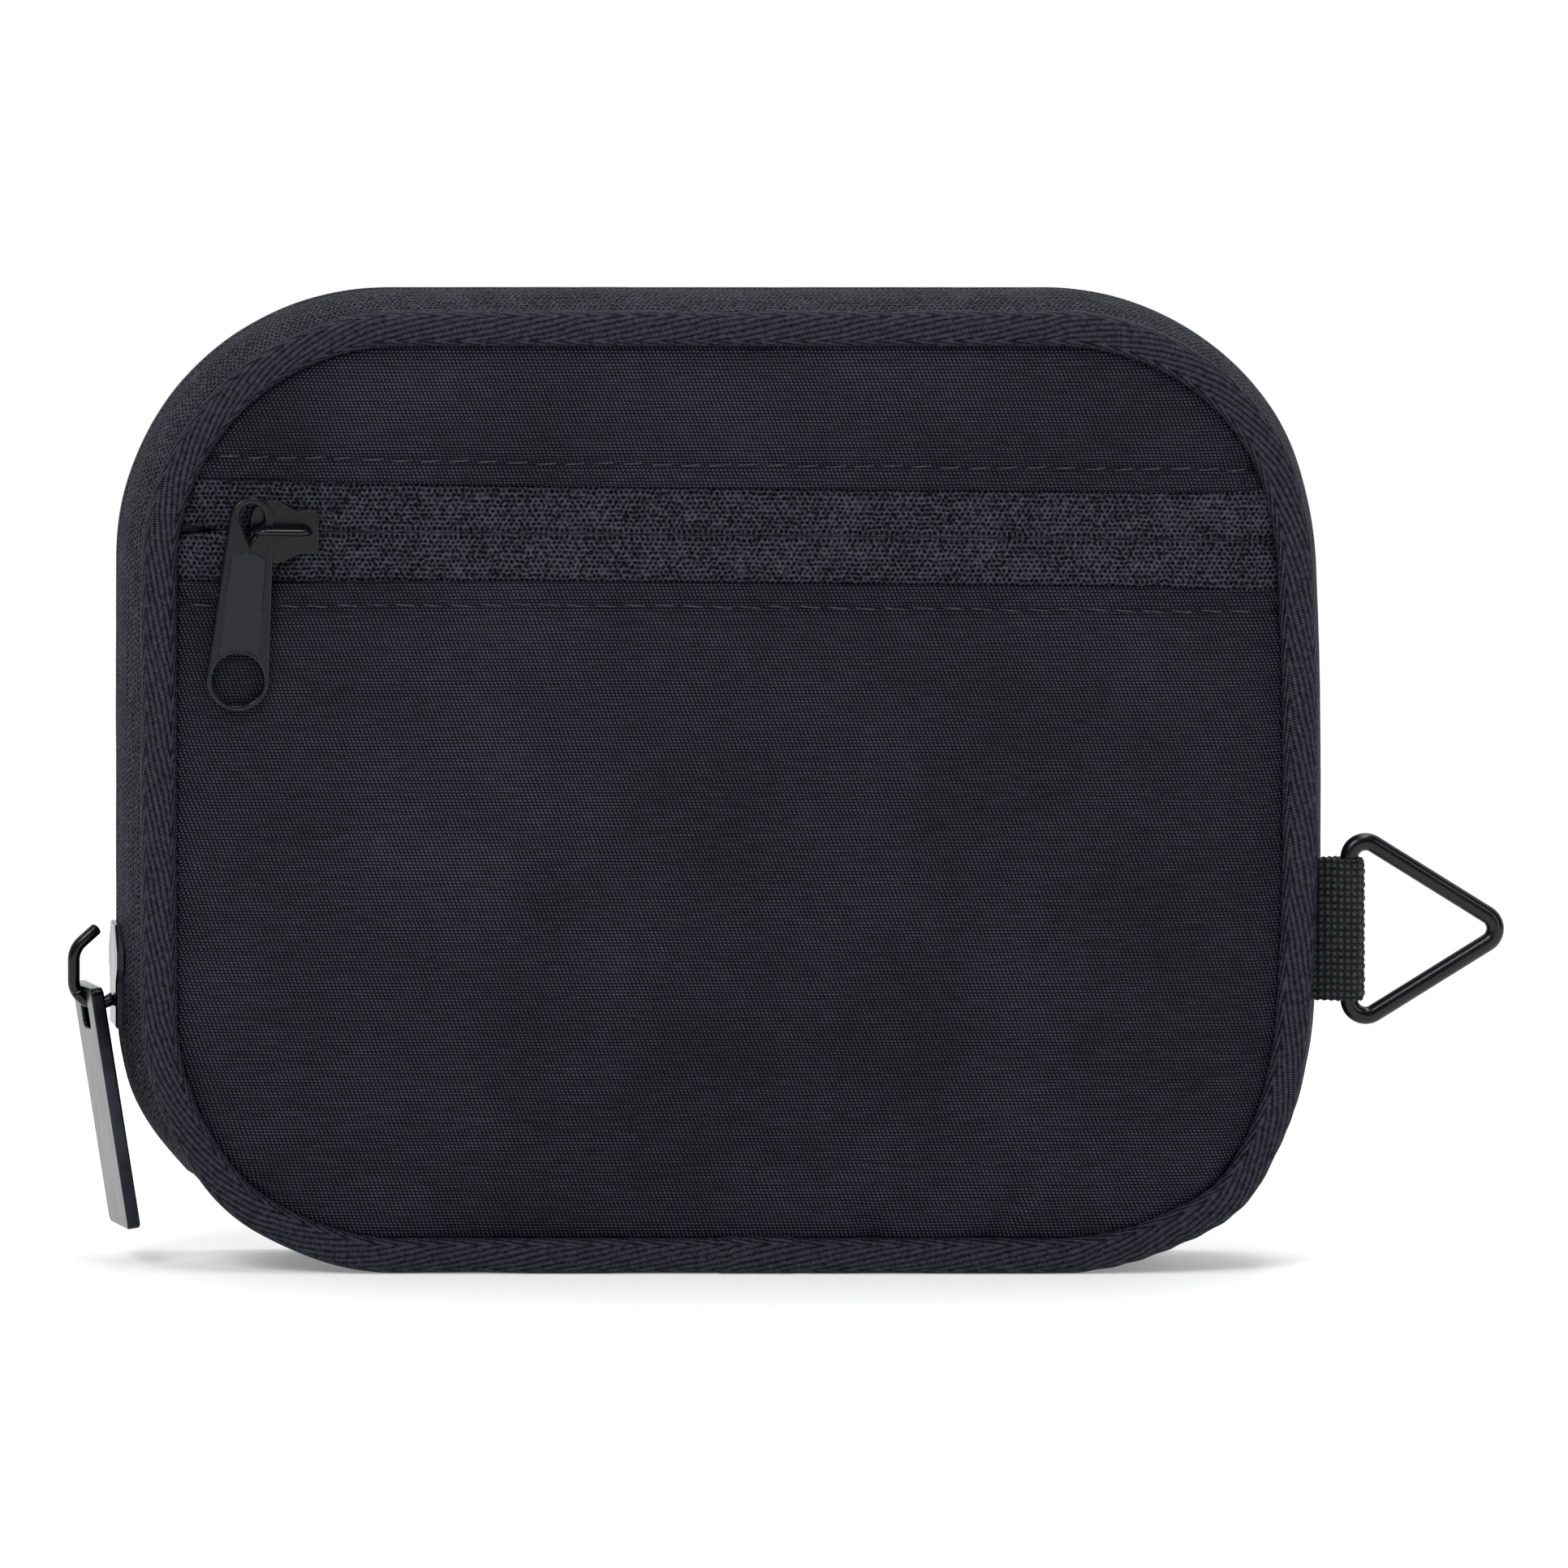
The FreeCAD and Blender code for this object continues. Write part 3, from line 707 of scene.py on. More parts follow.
def mirrored_heights(inset):
    """Row heights over a whole face, close together near both of its edges."""
    heights = panel_heights(inset, HEIGHT / 2)
    return heights[:-1] + [HEIGHT - height for height in reversed(heights)]


def columns(count):
    """Places from -1 to 1, closer together near the two sides."""
    places = (2 * i / (count - 1) - 1 for i in range(count))
    return [1.42 * k - 0.42 * k**3 for k in places]


def hem_relief(x, back, seed):
    """The turned hem along the pocket zip: a sewn groove, and slanted puckers between it and the fold."""
    groove = math.exp(-(((back - STITCH_BACK) / (0.45 * MM)) ** 2))
    between = smooth(back, -0.2 * MM, 0.5 * MM) * (1 - smooth(back, STITCH_BACK - 0.8 * MM, STITCH_BACK))
    phase = 2 * math.pi * (x - 0.6 * back) / STITCH_PITCH + 1.2 * fuzz(x, 0, 0, 9 * MM, seed)
    pucker = 0.5 + 0.32 * math.sin(phase) + 0.18 * math.sin(2 * phase + 1)
    behind = math.exp(-(((back - STITCH_BACK - 1.0 * MM) / (0.9 * MM)) ** 2))
    pull = behind * 0.5 * (1 + math.cos(phase))
    return (-0.50 * groove + between * 0.46 * pucker - 0.16 * pull) * MM


def tucked(relief, back):
    """The hem is drawn down: the relief is lower near the fold, by how far behind it a point is."""
    return relief * (0.62 + 0.38 * smooth(back, 0, 9 * MM))


def widening(x):
    """The pocket's opening gapes a little more towards the slider's end."""
    return 0.5 * MM * smooth(-x, 20 * MM, 70 * MM)


def front_cloth(name, node, side):
    """One outer panel of the front, from the binding to its turned hem beside the pocket zip."""
    fold = BAND_Z + side * (HALF_BAND + HEM_ROLL)
    edge = HEIGHT - UNDER_BINDING if side > 0 else UNDER_BINDING
    heights = panel_heights(min(fold, edge), max(fold, edge), fine_high=True)
    if side > 0:
        heights.reverse()
    rows = []
    for z_level in heights:
        half = half_width_at(z_level, UNDER_BINDING)
        near = 1 - smooth(abs(z_level - fold), 0, 18 * MM)
        row = []
        for s in columns(340):
            x = s * half
            z = z_level + (SLOPE * x + side * widening(x)) * near
            back = abs(z_level - fold)
            relief = face_relief(x, z, FRONT_SEED)
            for at_x, at_z, long, wide, lean, deep in CREASES:
                relief -= deep * MM * dimple(x, z, at_x * MM, at_z * MM, long * MM, wide * MM, lean)
            relief = tucked(relief, back) + hem_relief(x, back, side)
            sx, sz = soften(x, z)
            row.append(((sx, FRONT + PANEL_BASE - relief, sz), (x, z)))
        rows.append(row)
    for turn in (20, 50, 80, 110, 140, 170, 180, 181):
        angle = math.radians(min(turn, 180))
        under = 2.4 * MM if turn > 180 else 0
        row = []
        for (x, y, z), (u, v) in rows[len(heights) - 1]:
            wobble = 0.10 * MM * fuzz(x, 0, side, 5 * MM)
            out = -side * (HEM_ROLL + wobble) * math.sin(angle)
            point = (x, y + HEM_ROLL * (1 - math.cos(angle)), z + out + side * under)
            row.append((point, (u, v - side * HEM_ROLL * angle)))
        rows.append(row)
    piece = cloth_piece(name, rows)
    return finish_piece(thicken(piece, 0.3 * MM, 0), "outer_cloth", "front_half", node)


def topstitch(name, side):
    """A row of stitches in the hem's groove, each a short thread that dives in at both ends."""
    long = 2.9 * MM
    z_offset = side * (HALF_BAND + HEM_ROLL + STITCH_BACK)
    reach = half_width_at(BAND_Z + z_offset, UNDER_BINDING + 1.2 * MM)
    stitches = []
    x = -reach + 1.5 * MM
    index = 0
    while x < reach - long:
        path = []
        for i in range(9):
            t = i / 8
            px = x + long * t
            uneven = 0.10 * MM * math.sin(5 * index) + 0.22 * MM * (t - 0.5)
            pz = band_line(px) + z_offset + side * (widening(px) + uneven)
            relief = tucked(face_relief(px, pz, FRONT_SEED), STITCH_BACK)
            lift = -0.46 * MM + 0.38 * MM * math.sin(math.pi * t) ** 0.6
            sx, sz = soften(px, pz)
            path.append(Vector((sx, FRONT + PANEL_BASE - relief - lift, sz)))
        stitches.append(tube(f"{name}_{index}", path, 0.14 * MM, sides=8))
        x += STITCH_PITCH
        index += 1
    piece = join(name, stitches)
    for polygon in piece.data.polygons:
        polygon.use_smooth = True
    return finish_piece(piece, "thread", "front_half")


def back_cloth():
    """The back's one outer panel."""
    rows = []
    for z in mirrored_heights(UNDER_BINDING):
        half = half_width_at(z, UNDER_BINDING)
        row = []
        for s in columns(260):
            x = s * half
            sx, sz = soften(x, z)
            row.append(((sx, -FRONT - PANEL_BASE + face_relief(x, z, BACK_SEED), sz), (x, z)))
        rows.append(row)
    piece = cloth_piece("back_cloth", rows)
    return finish_piece(thicken(piece, 0.3 * MM, 0), "outer_cloth", "back_half", "back_panel")


def inner_pad(name, body, side, outer_y, inner_y, nodes):
    """Foam in its lining: a closed pad whose inner face is crowned and puckered at its edge."""
    heights = mirrored_heights(PAD_INSET)
    rows = []
    for layer in (0, 1):
        for z in heights if layer == 0 else reversed(heights):
            half = half_width_at(z, PAD_INSET)
            row = []
            for s in columns(150):
                x = s * half
                inside = depth_inside(x, z) - PAD_INSET
                roll = math.sqrt(1 - (1 - min(max(inside / (5 * MM), 0), 1)) ** 2)
                swell = 0.4 * MM * min(inside / (40 * MM), 1) + 0.12 * MM * fuzz(x, 0, z, 16 * MM, side)
                y = outer_y
                if layer == 1:
                    y += (inner_y - outer_y) * (0.35 + 0.65 * roll) - side * swell
                sx, sz = soften(x, z)
                row.append(((sx, y, sz), (x, z)))
            rows.append(row)
    piece = cloth_piece(name, rows, closed_rows=True)
    close_up(piece.data)
    finish_piece(piece, "lining_cloth", body, *nodes)
    return piece


# ---------------------------------------------------------------- binding and gusset


BINDING_WIDE = 2.42 * MM  # half the roll's width across the seam
BINDING_DEEP = 1.62 * MM  # half its depth
BINDING_MIDDLE = 1.70 * MM  # behind the front-most face
BINDING_WRAP = 2.15 * MM  # cloth to each radian round the roll
BINDING_STEP = 0.55 * MM


def binding(name, body, node, side):
    """Twill tape rolled over the seam: front (side -1) or back (side 1)."""
    loop = outline_points(BINDING_STEP)
    face = side * abs(FRONT)
    rows = []
    around = 26
    for x, z, travelled, nx, nz in loop:
        wave_at = fuzz(x, side, z, 11 * MM, 1.3)
        bunch = smooth(x, 30 * MM, 55 * MM) * (1 - smooth(z, 10 * MM, 30 * MM))
        ripple = math.sin(travelled / MM * 1.5 + 4 * wave_at) * (0.5 + 0.5 * fuzz(z, 2, x, 7 * MM, 2.1))
        plump = 1 + 0.035 * wave_at + bunch * 0.05 * ripple
        lap = 0.0
        if z < 2 * MM:  # the tape's ends overlap in the middle of the base
            lap = 0.22 * MM * (smooth(x, -1.6 * MM, -1.2 * MM) - smooth(x, 8 * MM, 9 * MM))
        sx, sz = soften(x, z)
        row = []
        for k in range(around):
            angle = 2 * math.pi * k / around
            c, s = math.cos(angle), math.sin(angle)
            in_plane = (BINDING_WIDE * plump + lap) * c
            in_depth = (BINDING_DEEP * plump + lap) * math.copysign(abs(s) ** 0.9, s)
            out = in_plane - BINDING_WIDE + 0.10 * MM * wave_at
            y = face - side * (BINDING_MIDDLE - in_depth - 0.10 * MM * wave_at)
            point = (sx + nx * out, y, max(sz + nz * out, 0.02 * MM))
            row.append((point, (travelled, BINDING_WRAP * angle)))
        rows.append(row)
    piece = cloth_piece(name, rows, closed_rows=True, closed_columns=True)
    fix_wrapped_uv(piece, rows)
    close_up(piece.data)
    return finish_piece(piece, "binding_twill", body, node)


def fix_wrapped_uv(piece, rows):
    """Where a closed loop's last point meets its first, the cloth's measure goes on instead of back."""
    layer = piece.data.uv_layers["cloth"]
    height, width = len(rows), len(rows[0])
    long = rows[-1][0][1][0] + BINDING_STEP
    wide = rows[0][-1][1][1] + BINDING_WRAP * 2 * math.pi / width
    for polygon in piece.data.polygons:
        corners = [(piece.data.loops[i].vertex_index, i) for i in polygon.loop_indices]
        js = [v // width for v, i in corners]
        ks = [v % width for v, i in corners]
        for (v, i), j, k in zip(corners, js, ks):
            u, w = rows[j][k][1]
            if j == 0 and height - 1 in js:
                u = long
            if k == 0 and width - 1 in ks:
                w = wide
            layer.data[i].uv = (u, w)


def gusset_run(above):
    """The outline's points of the zipped run (above the zip's ends) or of the base run, in order."""
    loop = outline_points(0.6 * MM)
    if above:
        return [p for p in loop if p[1] >= ZIP_END]
    start = next(i for i in range(len(loop)) if loop[i][1] < ZIP_END and loop[i - 1][1] >= ZIP_END)
    turned = loop[start:] + loop[:start]
    travelled = 0.0
    run = []
    for x, z, _, nx, nz in turned:
        if z >= ZIP_END:
            continue
        if run:
            travelled += math.dist(run[-1][:2], (x, z))
        run.append((x, z, travelled, nx, nz))
    return run


def gusset_stand(y, z):
    """How far the gusset's cloth stands out of the outline: dished on the base, bowed along the zip."""
    across = min(abs(y) / abs(SEAM), 1.0)
    bowed = -1.3 * MM + (TAPE_OUT + 1.25 * MM) * math.cos(across * math.pi / 2) ** 0.8
    dished = -0.45 * MM - 0.5 * MM * (1 - across**2)
    return dished + (bowed - dished) * smooth(z, ZIP_END - 8 * MM, ZIP_END + 12 * MM)


def gusset_tape(name, body, node, side):
    """Half of the main zip's tape, bowed outwards from the binding to the chain."""
    rows = []
    across = 20
    for x, z, travelled, nx, nz in gusset_run(True):
        px, pz = soften(x, z)
        row = []
        for k in range(across):
            t = k / (across - 1)
            y = SEAM - (0.12 * MM + SEAM) * t - 0.9 * MM * (1 - t)
            out = gusset_stand(SEAM * (1 - t), z)
            out += 0.10 * MM * fuzz(x, t * 3, z, 7 * MM, side) * math.sin(math.pi * t)
            out -= 0.35 * MM * math.exp(-(((1 - t) / 0.05) ** 2))
            row.append(((px + nx * out, -side * y, pz + nz * out), (travelled, (1 - t) * 9.8 * MM)))
        rows.append(row)
    piece = cloth_piece(name, rows)
    return finish_piece(thicken(piece, 0.45 * MM, -side), "zip_tape", body, node)


def base_strip(name, y_low, y_high):
    """Part of the bottom gusset's cloth, between two depths."""
    rows = []
    across = 14
    for x, z, travelled, nx, nz in gusset_run(False):
        px, pz = soften(x, z)
        row = []
        for k in range(across):
            y = y_low + (y_high - y_low) * k / (across - 1)
            out = gusset_stand(y, z)
            out += 0.12 * MM * fuzz(x, y, z, 8 * MM, 5)
            row.append(((px + nx * out, y, max(pz + nz * out, 0.1 * MM)), (travelled, y)))
        rows.append(row)
    return thicken(cloth_piece(name, rows), 0.5 * MM, -1)


def bottom_gusset():
    """Three joined strips: the middle one is set on the spine; the outer two are set on no body."""
    fold = 4.5 * MM
    edge = 10.6 * MM
    middle = base_strip("base_middle", -fold, fold)
    finish_piece(middle, "outer_cloth", "spine", "bottom_gusset", "bottom_gusset_lining")
    for side, half in ((-1, "front_half"), (1, "back_half")):
        low, high = sorted((side * fold, side * edge))
        strip = finish_piece(base_strip(f"base_{half}", low, high), "outer_cloth", None)
        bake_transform(strip)


# ---------------------------------------------------------------- pocket zip


def pocket_tape(name, nodes, side):
    """One half of the pocket zip's tape, from the chain to under the hem, parting left of the slider."""
    reach = half_width_at(BAND_Z, UNDER_BINDING)
    rows = []
    along = 300
    for k in range(26):
        t = k / 25
        row = []
        for i in range(along):
            x = -reach + 2 * reach * i / (along - 1)
            gap = 0.12 * MM + 0.90 * MM * (1 - smooth(x, -reach, -reach + 9 * MM))
            far = HALF_BAND + 2.2 * MM
            narrow = smooth(x, 0.72 * reach, reach)
            offset = gap + (far - gap) * t
            rib = 0.16 * MM * math.exp(-((offset / (0.8 * MM)) ** 2))
            arch = 0.32 * MM * math.sin(math.pi * min(t * 1.2, 1)) * (1 + 0.9 * narrow)
            curl = 0.9 * MM * narrow * math.exp(-(((t - 0.62) / 0.22) ** 2)) * (0.6 if side > 0 else 1.0)
            sink = 0.55 * MM * smooth(t, 0.62, 0.95)
            lip = 0.45 * MM * math.exp(-(((offset - gap) / (0.22 * MM)) ** 2))
            relief = crown(x, BAND_Z) * 0.62 - 0.95 * MM
            wobble = 0.07 * MM * fuzz(x, 0, offset, 6 * MM, side + 4)
            y = FRONT + PANEL_BASE - relief - rib - arch - curl + sink + lip + wobble
            z = band_line(x) + side * offset
            sx, sz = soften(x, z)
            row.append(((sx, y, sz), (x, offset)))
        rows.append(row)
    piece = cloth_piece(name, rows)
    return finish_piece(thicken(piece, 0.4 * MM, 1 if side > 0 else -1), "zip_tape", "front_half", *nodes)


def zip_chain(name, body, node, loop, y_of, out_of):
    """A coil's run of teeth: a ribbed strand following the outline."""
    rows = []
    around = 8
    for x, z, travelled, nx, nz in loop:
        px, pz = soften(x, z)
        swell = 1 + 0.18 * math.sin(2 * math.pi * travelled / (1.5 * MM))
        row = []
        for k in range(around):
            angle = 2 * math.pi * k / around
            out = out_of + 0.55 * MM * swell * math.cos(angle)
            y = y_of + 0.50 * MM * swell * math.sin(angle)
            row.append(((px + nx * out, y, pz + nz * out), (travelled, 0.5 * MM * angle)))
        rows.append(row)
    piece = cloth_piece(name, rows, closed_columns=True)
    return finish_piece(piece, "zip_coil", body, node)


# ---------------------------------------------------------------- webbing tab


def webbing_tab():
    """The folded webbing: out of the seam, round the ring's straight bar and back, woven in relief."""
    low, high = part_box("webbing_tab")
    pin = Vector(JOINTS["ring_swings"]["pos_m"])
    thick = 1.2 * MM
    rest = 2.05 * MM  # from the bar's middle to the middle of the cloth round it
    pressed = 0.72 * MM  # the same where the two layers are sewn together
    start_x = 77.0 * MM
    neck_x = 79.3 * MM
    outward = [(start_x + (neck_x - start_x) * i / 11, -pressed) for i in range(12)]
    for i in range(1, 16):
        t = i / 15
        outward.append((neck_x + (pin.x - neck_x) * t, -pressed - (rest - pressed) * smooth(t, 0, 1)))
    turn = []
    for i in range(1, 28):
        angle = -math.pi / 2 + math.pi * i / 27
        turn.append((pin.x + rest * math.cos(angle), rest * math.sin(angle)))
    fine = resample(outward + turn + [(x, -y) for x, y in reversed(outward[:-1])], 0.15 * MM)
    half = (high.z - low.z) / 2
    middle = (high.z + low.z) / 2
    across = 130
    rows = []
    for x, y, travelled, nx, ny in fine:
        row = []
        for k in range(across):
            v = -half + 2 * half * k / (across - 1)
            lift = basket(travelled, v, WEAVE_U, WEAVE_V)
            edge = smooth(half - abs(v), 0, 0.5 * MM)
            out = (0.34 * MM * lift - 0.22 * MM) * edge - 0.25 * MM * (1 - edge)
            out += 0.03 * MM * fuzz(travelled, v, 0, 2.0 * MM, 3)
            nick = 0.12 * MM * math.cos(travelled * math.pi * 2 / WEAVE_U)
            wander = 0.16 * MM * fuzz(travelled, 0, 5, 6 * MM) + nick
            z = middle + v * (1 + wander / (half * 1.6) * smooth(abs(v), half * 0.8, half))
            row.append(((x + nx * out, pin.y + y + ny * out, z), (travelled, v)))
        rows.append(row)
    piece = thicken(cloth_piece("webbing_tab_cloth", rows), thick, 1)
    finish_piece(piece, "webbing", "front_half", "webbing_tab")
    return piece


def basket(u, v, pitch_u, pitch_v):
    """Height, 0 to 1, of a basket weave: paired yarns passing over and under in turn."""
    turn = (math.floor(u / pitch_u) + math.floor(v / pitch_v)) % 2
    along = abs(math.sin(math.pi * u / pitch_u))
    across = abs(math.sin(math.pi * v / pitch_v))
    over = math.sqrt(along) * (0.55 + 0.45 * across)
    under = math.sqrt(across) * (0.35 + 0.35 * along)
    return over if turn else under


def resample(path, step):
    """Evenly spaced (x, y, distance run, normal x and y) along a plan path, the normal to its right."""
    points = [path[0]]
    for point in path[1:]:
        if math.dist(points[-1], point) > 1e-7:
            points.append(point)
    marks = [0.0]
    for a, b in zip(points, points[1:]):
        marks.append(marks[-1] + math.dist(a, b))
    count = round(marks[-1] / step)
    fine = []
    leg = 0
    for i in range(count + 1):
        at = marks[-1] * i / count
        while leg < len(points) - 2 and marks[leg + 1] < at:
            leg += 1
        t = (at - marks[leg]) / (marks[leg + 1] - marks[leg])
        a, b = points[leg], points[leg + 1]
        fine.append((a[0] + (b[0] - a[0]) * t, a[1] + (b[1] - a[1]) * t, at))
    result = []
    for i, (x, y, at) in enumerate(fine):
        before = fine[max(i - 1, 0)]
        after = fine[min(i + 1, len(fine) - 1)]
        dx, dy = after[0] - before[0], after[1] - before[1]
        size = math.hypot(dx, dy)
        result.append((x, y, at, dy / size, -dx / size))
    return result


# ---------------------------------------------------------------- hardware


# Turns a plate drawn in x and y to stand upright and face the front.
FACING_FRONT = Matrix(((1, 0, 0, 0), (0, 0, -1, 0), (0, 1, 0, 0), (0, 0, 0, 1)))


def triangle_ring():
    """A bent round wire, its straight bar inside the webbing's fold."""
    pin = Vector(JOINTS["ring_swings"]["pos_m"])
    half_base = 13.5 * MM
    reach = 21.7 * MM
    corners = [
        pin + Vector((0, 0, half_base)),
        pin + Vector((reach, 0, 0)),
        pin - Vector((0, 0, half_base)),
    ]
    path = rounded_path(corners, 2.2 * MM, closed=True, steps=14)
    piece = tube("triangle_ring_wire", path, 1.2 * MM, closed=True, sides=28)
    return finish_piece(piece, "black_metal", "ring", "triangle_ring")


def main_hook():
    """The slider's open hook: out of the plate, down and round, and up to a blunt tip."""
    low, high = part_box("main_slider_hook")
    radius = 0.82 * MM
    out = low.x + radius + 0.2 * MM
    corners = [
        Vector((high.x - radius, 0, low.z + 2.7 * MM)),
        Vector((high.x - 3.6 * MM, 0, low.z + 0.3 * MM)),
        Vector((out, 0, low.z + 4.4 * MM)),
        Vector((out, 0, high.z - 3.3 * MM)),
        Vector((high.x - 2.9 * MM, 0, high.z - 0.6 * MM)),
    ]
    piece = tube("main_slider_hook_wire", rounded_path(corners, 3.3 * MM), radius, sides=24)
    return finish_piece(piece, "black_metal", "main_slider", "main_slider_hook")


def rounded_corner_loop(half, low, high, bend):
    """A closed loop round a rectangle with rounded corners."""
    loop = []
    for x, y, start in ((half - bend, high - bend, 0), (bend - half, high - bend, 90),
                        (bend - half, low + bend, 180), (half - bend, low + bend, 270)):
        loop += circle_loop(x, y, bend, 9, math.radians(start), math.pi / 2)
    return loop


def main_pull():
    """A heavy polished bar hung on the hook, plain where the maker's lettering would be."""
    plate = rounded_corner_loop(5.5 * MM, -30.8 * MM, 2.2 * MM, 1.0 * MM)
    window = rounded_corner_loop(1.9 * MM, -3.6 * MM, 0.9 * MM, 0.9 * MM)
    piece = curve_piece("main_pull_bar", [plate, window], 1.8 * MM, 0.30 * MM)
    facing_left = Matrix(((0, 0, -1, 0), (-1, 0, 0, 0), (0, 1, 0, 0), (0, 0, 0, 1)))
    twist = Matrix.Rotation(math.radians(7), 4, "Z")
    lean = Matrix.Rotation(math.radians(-9), 4, "Y")
    pivot = Matrix.Translation(Vector((-85.1, 0, 35.4)) * MM)
    piece.data.transform(pivot @ lean @ twist @ facing_left)
    return finish_piece(piece, "gunmetal", "main_pull", "main_pull")


PULL_SPAN = 21.7 * MM  # from the middle of the pocket pull's eye to the middle of its round hole


def pull_outline():
    """The pocket pull's outline: a small round eye end, straight sides and a broad round end."""
    eye, end = 3.0 * MM, 4.25 * MM
    lean = math.asin((end - eye) / PULL_SPAN)
    loop = circle_loop(0, 0, eye, 32, lean, math.pi - 2 * lean)
    return loop + circle_loop(0, -PULL_SPAN, end, 48, math.pi - lean, math.pi + 2 * lean)


def field_outline():
    """The sunk field between the eye and the round hole, arched at the top and round at the foot."""
    half = 2.3
    across = (-half, -1.6, -0.8, 0, 0.8, 1.6, half)
    top = [(x * MM, (-5.2 + 0.75 * (1 - (x / half) ** 2)) * MM) for x in across]
    foot = circle_loop(0, -PULL_SPAN, 3.95 * MM, 17, math.radians(46), math.radians(88))
    return top + foot


def pocket_pull():
    """The flat puller of the pocket zip, with a satin field inside a raised rim."""
    eye_hole = circle_loop(0, 0.35 * MM, 1.75 * MM, 28, math.radians(-25), math.radians(230))
    eye_hole.append((0, -3.4 * MM))
    big_hole = circle_loop(0, -PULL_SPAN, 3.5 * MM, 56)
    plate = curve_piece("pocket_pull_plate", [pull_outline(), eye_hole, big_hole], 1.2 * MM, 0.28 * MM)
    field = curve_piece("pocket_pull_satin", [field_outline()], 0.10 * MM, 0.02 * MM)
    field.data.transform(Matrix.Translation((0, 0, 0.58 * MM)))
    edge = [Vector((x, y, 0.60 * MM)) for x, y in field_outline()]
    rim = tube("pocket_pull_rim", edge, 0.11 * MM, closed=True, sides=10)
    lean = Matrix.Rotation(math.radians(5), 4, "Y")
    low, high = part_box("pocket_pull")
    pivot = Matrix.Translation(Vector((-64.9 * MM, (low.y + high.y) / 2, high.z - 2.3 * MM)))
    for piece, material in ((plate, "black_metal"), (field, "satin_field"), (rim, "black_metal")):
        piece.data.transform(pivot @ lean @ FACING_FRONT)
        finish_piece(piece, material, "pocket_pull")
    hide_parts("pocket_pull")


def slider_outline():
    """The pocket slider's plate: a round nose, broad shoulders and a narrower tail, in its own axes."""
    upper = []
    for i in range(41):
        x = -5.0 + 9.3 * i / 40
        if x < -2.4:
            half = 2.0 + 2.25 * math.sqrt(max(1 - ((-2.4 - x) / 2.6) ** 2, 0))
        else:
            half = 2.95 + 1.30 * (1 - smooth(x, -1.4, 2.1))
        upper.append((x * MM, half * MM))
    return upper + [(x, -y) for x, y in reversed(upper)]


def pocket_slider():
    """Two plates, one either side of the zip's tapes."""
    low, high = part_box("pocket_slider_body")
    middle = Vector(((low.x + high.x) / 2, 0, (low.z + high.z) / 2))
    tilt = Matrix.Rotation(-math.atan(SLOPE), 4, "Y")
    plates = []
    for name, y, thick in (("outer", low.y + 0.5 * MM, 1.0 * MM), ("inner", high.y - 0.3 * MM, 0.6 * MM)):
        plate = curve_piece(f"pocket_slider_{name}", [slider_outline()], thick, 0.22 * MM)
        plate.data.transform(Matrix.Translation(middle + Vector((0, y, 0))) @ tilt @ FACING_FRONT)
        plates.append(plate)
    ends = [middle + Vector((-2.6 * MM, y, 0)) for y in (low.y + 0.4 * MM, high.y - 0.3 * MM)]
    plates.append(tube("pocket_slider_post", ends, 0.7 * MM))
    whole = join("pocket_slider_plates", plates)
    return finish_piece(whole, "black_metal", "pocket_slider", "pocket_slider_body")


def pocket_bail():
    """The bail: a flat bar on two short legs, bent over at each end."""
    low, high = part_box("pocket_slider_bail")
    half_wide, half_thick = 0.72 * MM, 0.52 * MM
    middle = (low.z + high.z) / 2 + 0.4 * MM
    left = low.x + 0.7 * MM
    right = high.x - 2.2 * MM
    top = low.y + 0.8 * MM
    drop = SLOPE * (right - left)
    corners = [
        Vector((left, high.y - 0.2 * MM, middle)),
        Vector((left, top, middle)),
        Vector((right, top, middle + drop)),
        Vector((right, high.y - 0.2 * MM, middle + drop)),
    ]
    path = rounded_path(corners, 1.1 * MM, steps=14)
    wire = tube("pocket_bail_bar", path, half_wide, sides=28, flat=half_thick / half_wide)
    return finish_piece(wire, "black_metal", "pocket_slider", "pocket_slider_bail")


# ---------------------------------------------------------------- the pouch


def build_pouch():
    """Every piece, front to back and then the hardware."""
    for name, node, side in (("front_cloth_lower", "front_lower_panel", -1),
                             ("front_cloth_upper", "front_upper_panel", 1)):
        front_cloth(name, node, side)
        topstitch(f"topstitch_{'upper' if side > 0 else 'lower'}", side)
    back_cloth()
    pocket_tape("pocket_tape_upper_cloth", ("pocket_tape_upper", "pocket_coil_upper"), 1)
    pocket_tape("pocket_tape_lower_cloth", ("pocket_tape_lower", "pocket_coil_lower"), -1)
    front_nodes = ("front_lining", "front_foam", "pocket_backing")
    inner_pad("front_inner_pad", "front_half", -1, -9.3 * MM, -6.3 * MM, front_nodes)
    inner_pad("back_inner_pad", "back_half", 1, 9.8 * MM, 9.5 * MM, ("back_lining", "back_foam"))
    binding("front_binding_roll", "front_half", "front_binding", -1)
    binding("back_binding_roll", "back_half", "back_binding", 1)
    for side, body, tape, coil in ((-1, "front_half", "front_gusset_tape", "front_gusset_coil"),
                                   (1, "back_half", "back_gusset_tape", "back_gusset_coil")):
        gusset_tape(tape + "_cloth", body, tape, side)
        loop = [p for p in gusset_run(True) if p[1] > ZIP_END + 2 * MM]
        zip_chain(coil + "_teeth", body, coil, loop, side * 0.72 * MM, 0.15 * MM)
    bottom_gusset()
    webbing_tab()
    triangle_ring()
    main_hook()
    main_pull()
    pocket_bail()
    pocket_pull()
    pocket_slider()
    # These two CAD nodes stay in view.
    paint(bpy.data.objects["main_slider_body"], "gunmetal")
    paint(bpy.data.objects["main_zip_stops"], "zip_coil")


# ---------------------------------------------------------------- studio


